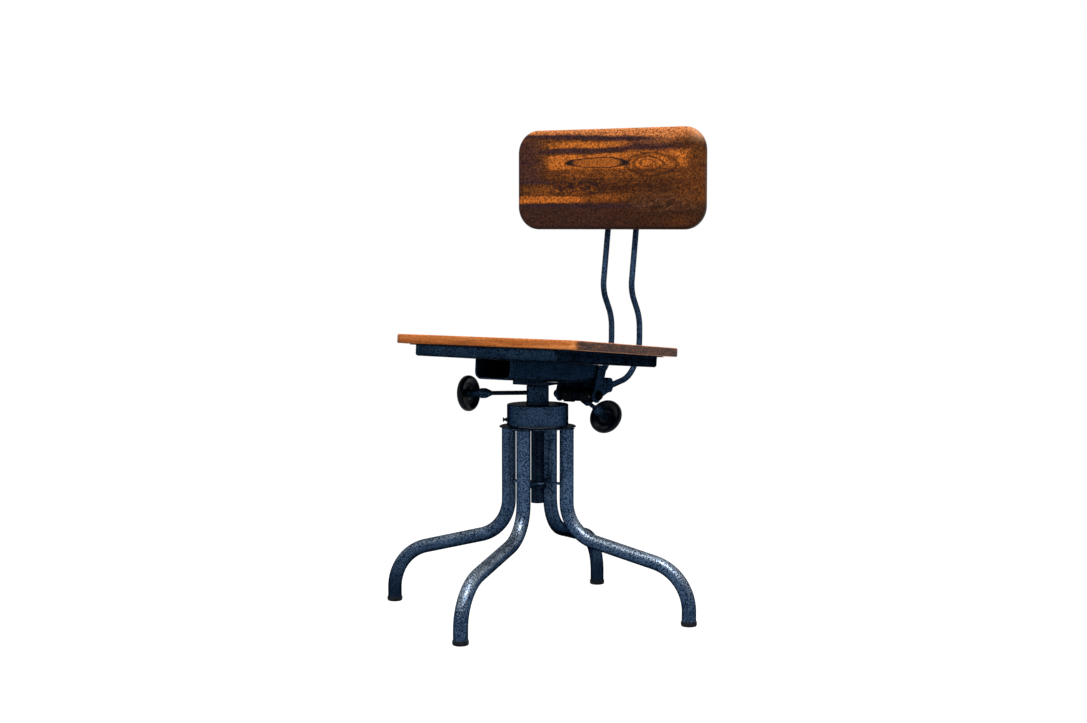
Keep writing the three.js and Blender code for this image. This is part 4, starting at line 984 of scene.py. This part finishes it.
def wood_screw(length):
    """A slotted screw with a round head, which stands on z = 0. Its shank goes down."""
    head_radius, head_height, shank_radius = 4.4, 2.6, 2.1
    slot_half, slot_depth = 0.55, head_height * 0.5
    loops = []
    for t in quarter_turn(8):
        r, z = max(head_radius * math.cos(t), 0.05), head_height * math.sin(t)
        loop = []
        for angle in full_turn(48):
            x, y = r * math.cos(angle), r * math.sin(angle)
            cut = abs(y) < slot_half and z > head_height * 0.35
            loop.append((x, y, z - slot_depth if cut else z))
        loops.append(loop)
    shank = [(0, -length), (shank_radius * 0.3, 1 - length), (shank_radius, 4 - length),
             (shank_radius, 0), (0, 0)]
    return loft(loops).merge(revolve(shank, 24))


def beam_outline(inset, depth):
    """The trough's section as (x, z), from one top edge down and round to the other."""
    x, z = BEAM_HALF_WIDTH - BEAM_CORNER, BEAM_TOP - depth + BEAM_CORNER
    radius, side = BEAM_CORNER - inset, BEAM_HALF_WIDTH - inset
    levels = [BEAM_TOP + (z - BEAM_TOP) * k / 4 for k in range(4)]
    out = [(-side, level) for level in levels]
    for centre, start in ((-x, PI), (x, 1.5 * PI)):
        out += [(centre + radius * math.cos(start + t), z + radius * math.sin(start + t))
                for t in quarter_turn(12)]
    return out + [(side, level) for level in reversed(levels)]


def beam_shape():
    """The trough as one folded sheet: an open section with a thickness, drawn along Y."""
    loops = []
    for y, depth in BEAM_STATIONS:
        section = beam_outline(0, depth) + beam_outline(BEAM_WALL, depth)[::-1]
        loops.append([(x, y, z) for x, z in section])
    return loft(loops)


seat_board = board_shape(**SEAT, thickness=SEAT_THICKNESS, lower_edge=2.2, upper_edge=3.2, wave=0.25,
                         straight=28)
piece("seat_plank", seat_board, ON_SEAT @ shift(0, 0, -SEAT_THICKNESS), "seat", SEAT_WOOD,
      ["seat_board"], sharp=60)

tray = tray_shape().merge(lip_shape(-1)).merge(lip_shape(1))
piece("tray_shell", tray, ON_SEAT, "seat", SHADED_TRAY_PAINT, ["seat_tray"], sharp=50)

for i, (x, y) in enumerate(((-158.5, -123), (158.5, -123), (-158.5, 141), (158.5, 141))):
    spot = ON_SEAT @ shift(x, y, TRAY_TOP - TRAY_WALL - 0.1) @ turn(rad(17 + 71 * i), "Z") @ turn(PI, "X")
    piece(f"wood_screw_{i + 1}", wood_screw(12), spot, "seat", DARK_PAINT,
          [f"seat_screw_{i + 1}"], sharp=35)

piece("beam_trough", beam_shape(), ON_SEAT, "seat", SHADED_PAINT, ["beam"], sharp=35)

# A thin cover along the beam's near side, with a round lower corner at the front.
cover_outline = fillet([COVER_CORNERS[-1]] + closed(COVER_CORNERS), [4.5, 2, 2, 2], 6)[1:-1]
cover = loft([
    [(38.6, y, z) for y, z in cover_outline],
    [(40.1, y, z) for y, z in cover_outline],
    [(40.5, y * 0.9985 - 0.02, (z + 54.8) * 0.985 - 54.8) for y, z in cover_outline],
])
piece("beam_cover", cover, ON_SEAT, "seat", SHADED_PAINT, sharp=30)

for label, side in SIDES:
    low, high = sorted((side * HANGER_INNER, side * HANGER_OUTER))
    piece(f"hanger_plate_{label}", plate(HANGER, low, high, 0.9), ON_COLUMN, "seat", SHADED_PAINT,
          [f"hanger_{label}"], sharp=50)


# Cross shaft and springs

SPRING_TURNS = 5.25
SPRING_RADIUS = 13.6
SPRING_INNER, SPRING_OUTER = 8.3, 33.6
WIRE_RADIUS = 1.75
WIRE_ROOM = 1.85  # from a spring's end to the middle of its last coil

shaft = fillet([(0, -52.5), (5.2, -52.5), (6, -51.7), (6, 51.7), (5.2, 52.5), (0, 52.5)], [0.2] * 4, 2)
piece("cross_pin", revolve(shaft, 48), ALONG_SHAFT, "back_shaft", BRIGHT, ["back_shaft"])

for label, side in SIDES:
    low, high = sorted((side * 44.2, side * 50.0))
    piece(f"pin_nut_{label}", nut_shape(6.1, 9.5, low, high), ALONG_SHAFT, "back_shaft", BLACK_PAINT,
          [f"shaft_nut_{label}"], sharp=30)

pin_cap = [(0, 52.7), (6.2, 52.7), (6.2, 50.1)]
pin_cap += fillet([(6.9, 50.1), (6.9, 51.6), (5.2, 53), (0, 53.2)], [0.8, 2], 5)
for label, side in SIDES:
    cap = revolve([(r, side * z) for r, z in pin_cap], 48)
    piece(f"pin_cap_{label}", cap, ALONG_SHAFT, "back_shaft", BLACK_PAINT)


def spring_shape(side):
    start, end = SPRING_INNER + WIRE_ROOM, SPRING_OUTER - WIRE_ROOM
    count = 220
    points = []
    for i in range(count + 1):
        t = i / count
        angle = 2 * PI * SPRING_TURNS * t
        across, up = SPRING_RADIUS * math.cos(angle), side * SPRING_RADIUS * math.sin(angle)
        points.append(Vector((side * (start + (end - start) * t), across, up)))
    return sweep(points, WIRE_RADIUS, 14)


for label, side in SIDES:
    piece(f"coil_{label}", spring_shape(side), ON_ARM, "seat", SPRING_STEEL,
          [f"back_spring_{label}"])


# Back arm

ROD_RADIUS = 6
ROD_HALF_SPACING = 32.5
ROD_CORNERS = [(199.8, 416.05), (348.7, 436.98), (348.7, 550.3), (311.2, 606.4), (334.8, 745), (334.8, 828.7)]
ROD_BENDS = (84, 70, 55, 60)


def cast_piece(name, node, body, material, voxel, smoothing):
    """A casting made from a CAD node: it is remeshed finely and its edges are softened."""
    mesh = bpy.data.meshes.new(name)
    work = bmesh.new()
    work.from_mesh(frame["nodes"][node].data)
    bmesh.ops.remove_doubles(work, verts=work.verts, dist=1e-6)
    work.to_mesh(mesh)
    work.free()
    obj = link_object(name, mesh)
    remesh = obj.modifiers.new("remesh", "REMESH")
    remesh.mode = "VOXEL"
    remesh.voxel_size = voxel
    smooth = obj.modifiers.new("smooth", "SMOOTH")
    smooth.factor = 0.5
    smooth.iterations = smoothing
    bpy.context.view_layer.update()
    done = bpy.data.meshes.new_from_object(obj.evaluated_get(bpy.context.evaluated_depsgraph_get()))
    obj.modifiers.clear()
    obj.data = done
    bpy.data.meshes.remove(mesh)
    done.name = name
    settle(obj, body, material, [node])


cast_piece("arm_casting", "back_arm", "back_arm", ARM_PAINT, voxel=0.0007, smoothing=6)
cast_piece("top_bar_casting", "pivot_bar", "back_arm", DARK_PAINT, voxel=0.0006, smoothing=5)
cast_piece("head_forging", "spindle_head", "seat", DARK_PAINT, voxel=0.0008, smoothing=4)

rod_path = densify(bent_path([(0, y, z) for y, z in ROD_CORNERS], ROD_BENDS, 22), 10)
for label, side in SIDES:
    beside = ON_COLUMN @ shift(side * ROD_HALF_SPACING, 0, 0)
    piece(f"back_rod_{label}", sweep(rod_path, ROD_RADIUS, 36), beside, "back_arm", HALF_SHADED_PAINT,
          [f"rod_{label}"])


# Backrest

BOARD_REAR = BACK_THICKNESS / 2 - BACK_OFFSET

back_board = board_shape(BACK_HALF_WIDTH, -BACK_HALF_HEIGHT, BACK_HALF_HEIGHT, BACK_CORNER, BACK_THICKNESS,
                         lower_edge=6, upper_edge=7, wave=0.2, straight=20)
piece("back_plank", back_board, ON_BACK @ shift(0, BOARD_REAR, BACK_RISE) @ turn(PI / 2, "X"), "backrest",
      BACK_WOOD, ["back_board"], sharp=60)

for i, (x, z) in enumerate(((-36, -20), (36, -20), (-36, 20), (36, 20))):
    spot = ON_BACK @ shift(x, BOARD_REAR + 3.6, BACK_RISE + z) @ turn(-PI / 2, "X")
    spot = spot @ turn(rad(24 + 53 * i), "Z")
    piece(f"back_wood_screw_{i + 1}", wood_screw(14), spot, "backrest", DARK_PAINT,
          [f"back_screw_{i + 1}"], sharp=35)

cast_piece("back_plate_and_ears", "back_bracket", "backrest", DARK_PAINT, voxel=0.0007,
           smoothing=2)

spindle = fillet([(0, 226), (8.5, 226), (10, 227.5), (10, 459.7), (0, 459.7)], [0.3, 0.6, 0.2], 3)
piece("spindle_bar", revolve(spindle, 48), ON_COLUMN, "seat", BRIGHT, ["spindle"])


# Floor, light and world

FLOOR_HALF = 30
FLOOR_GREY = (0.30, 0.30, 0.30, 1)
FLOOR_GLOW = 0.965  # what the lamps add brings the seen floor to white
WORLD_LIGHT = 0.13  # the strength of the white round the chair where it lights the chair


def seen_or_mirrored(n):
    """1 for rays from the camera and in reflections, and 0 for the rays that light the object."""
    path = n.new("LightPath").outputs
    mirrored = n.plus(path["Is Glossy Ray"], path["Is Transmission Ray"])
    total = n.operate("Math", "ADD", (path["Is Camera Ray"], mirrored))
    total.use_clamp = True
    return total.outputs[0]


floor_material = bpy.data.materials.new("floor")
n = Nodes(floor_material)
diffuse = n.new("BsdfDiffuse", Color=FLOOR_GREY)
glow = n.new("Emission", Strength=n.times(seen_or_mirrored(n), FLOOR_GLOW))
both = n.new("AddShader")
for shader, socket in zip((diffuse, glow), both.inputs):
    n.link(shader.outputs[0], socket)
n.new("OutputMaterial", Surface=both.outputs[0])

floor_mesh = bpy.data.meshes.new("floor")
floor_corners = [(x * FLOOR_HALF, y * FLOOR_HALF, 0) for x, y in ((-1, -1), (1, -1), (1, 1), (-1, 1))]
floor_mesh.from_pydata(floor_corners, [], [(0, 1, 2, 3)])
floor_mesh.materials.append(floor_material)
floor = link_object("floor", floor_mesh)

world = bpy.data.worlds.new("world")
bpy.context.scene.world = world
n = Nodes(world)
strength = n.new("MapRange", Value=seen_or_mirrored(n), To_Min=WORLD_LIGHT, To_Max=1.0)
background = n.new("Background", Color=(1, 1, 1, 1), Strength=strength.outputs[0])
n.new("OutputWorld", Surface=background.outputs[0])

for name, place, target, size, watts in (
    ("key", (1.35, -1.65, 3.0), (0, 0, 0.4), 0.9, 110),
    ("top", (-0.3, 0.3, 3.0), (0, 0, 0.3), 1.2, 16),
    ("fill", (-2.4, -2.2, 1.6), (0, 0, 0.5), 1.4, 4),
):
    light = bpy.data.lights.new(name, "AREA")
    light.shape = "RECTANGLE"
    light.size = light.size_y = size
    light.energy = watts
    lamp = link_object(name, light)
    lamp.location = place
    lamp.rotation_euler = (Vector(target) - Vector(place)).to_track_quat("-Z", "Y").to_euler()

bpy.context.scene.view_settings.view_transform = "Standard"
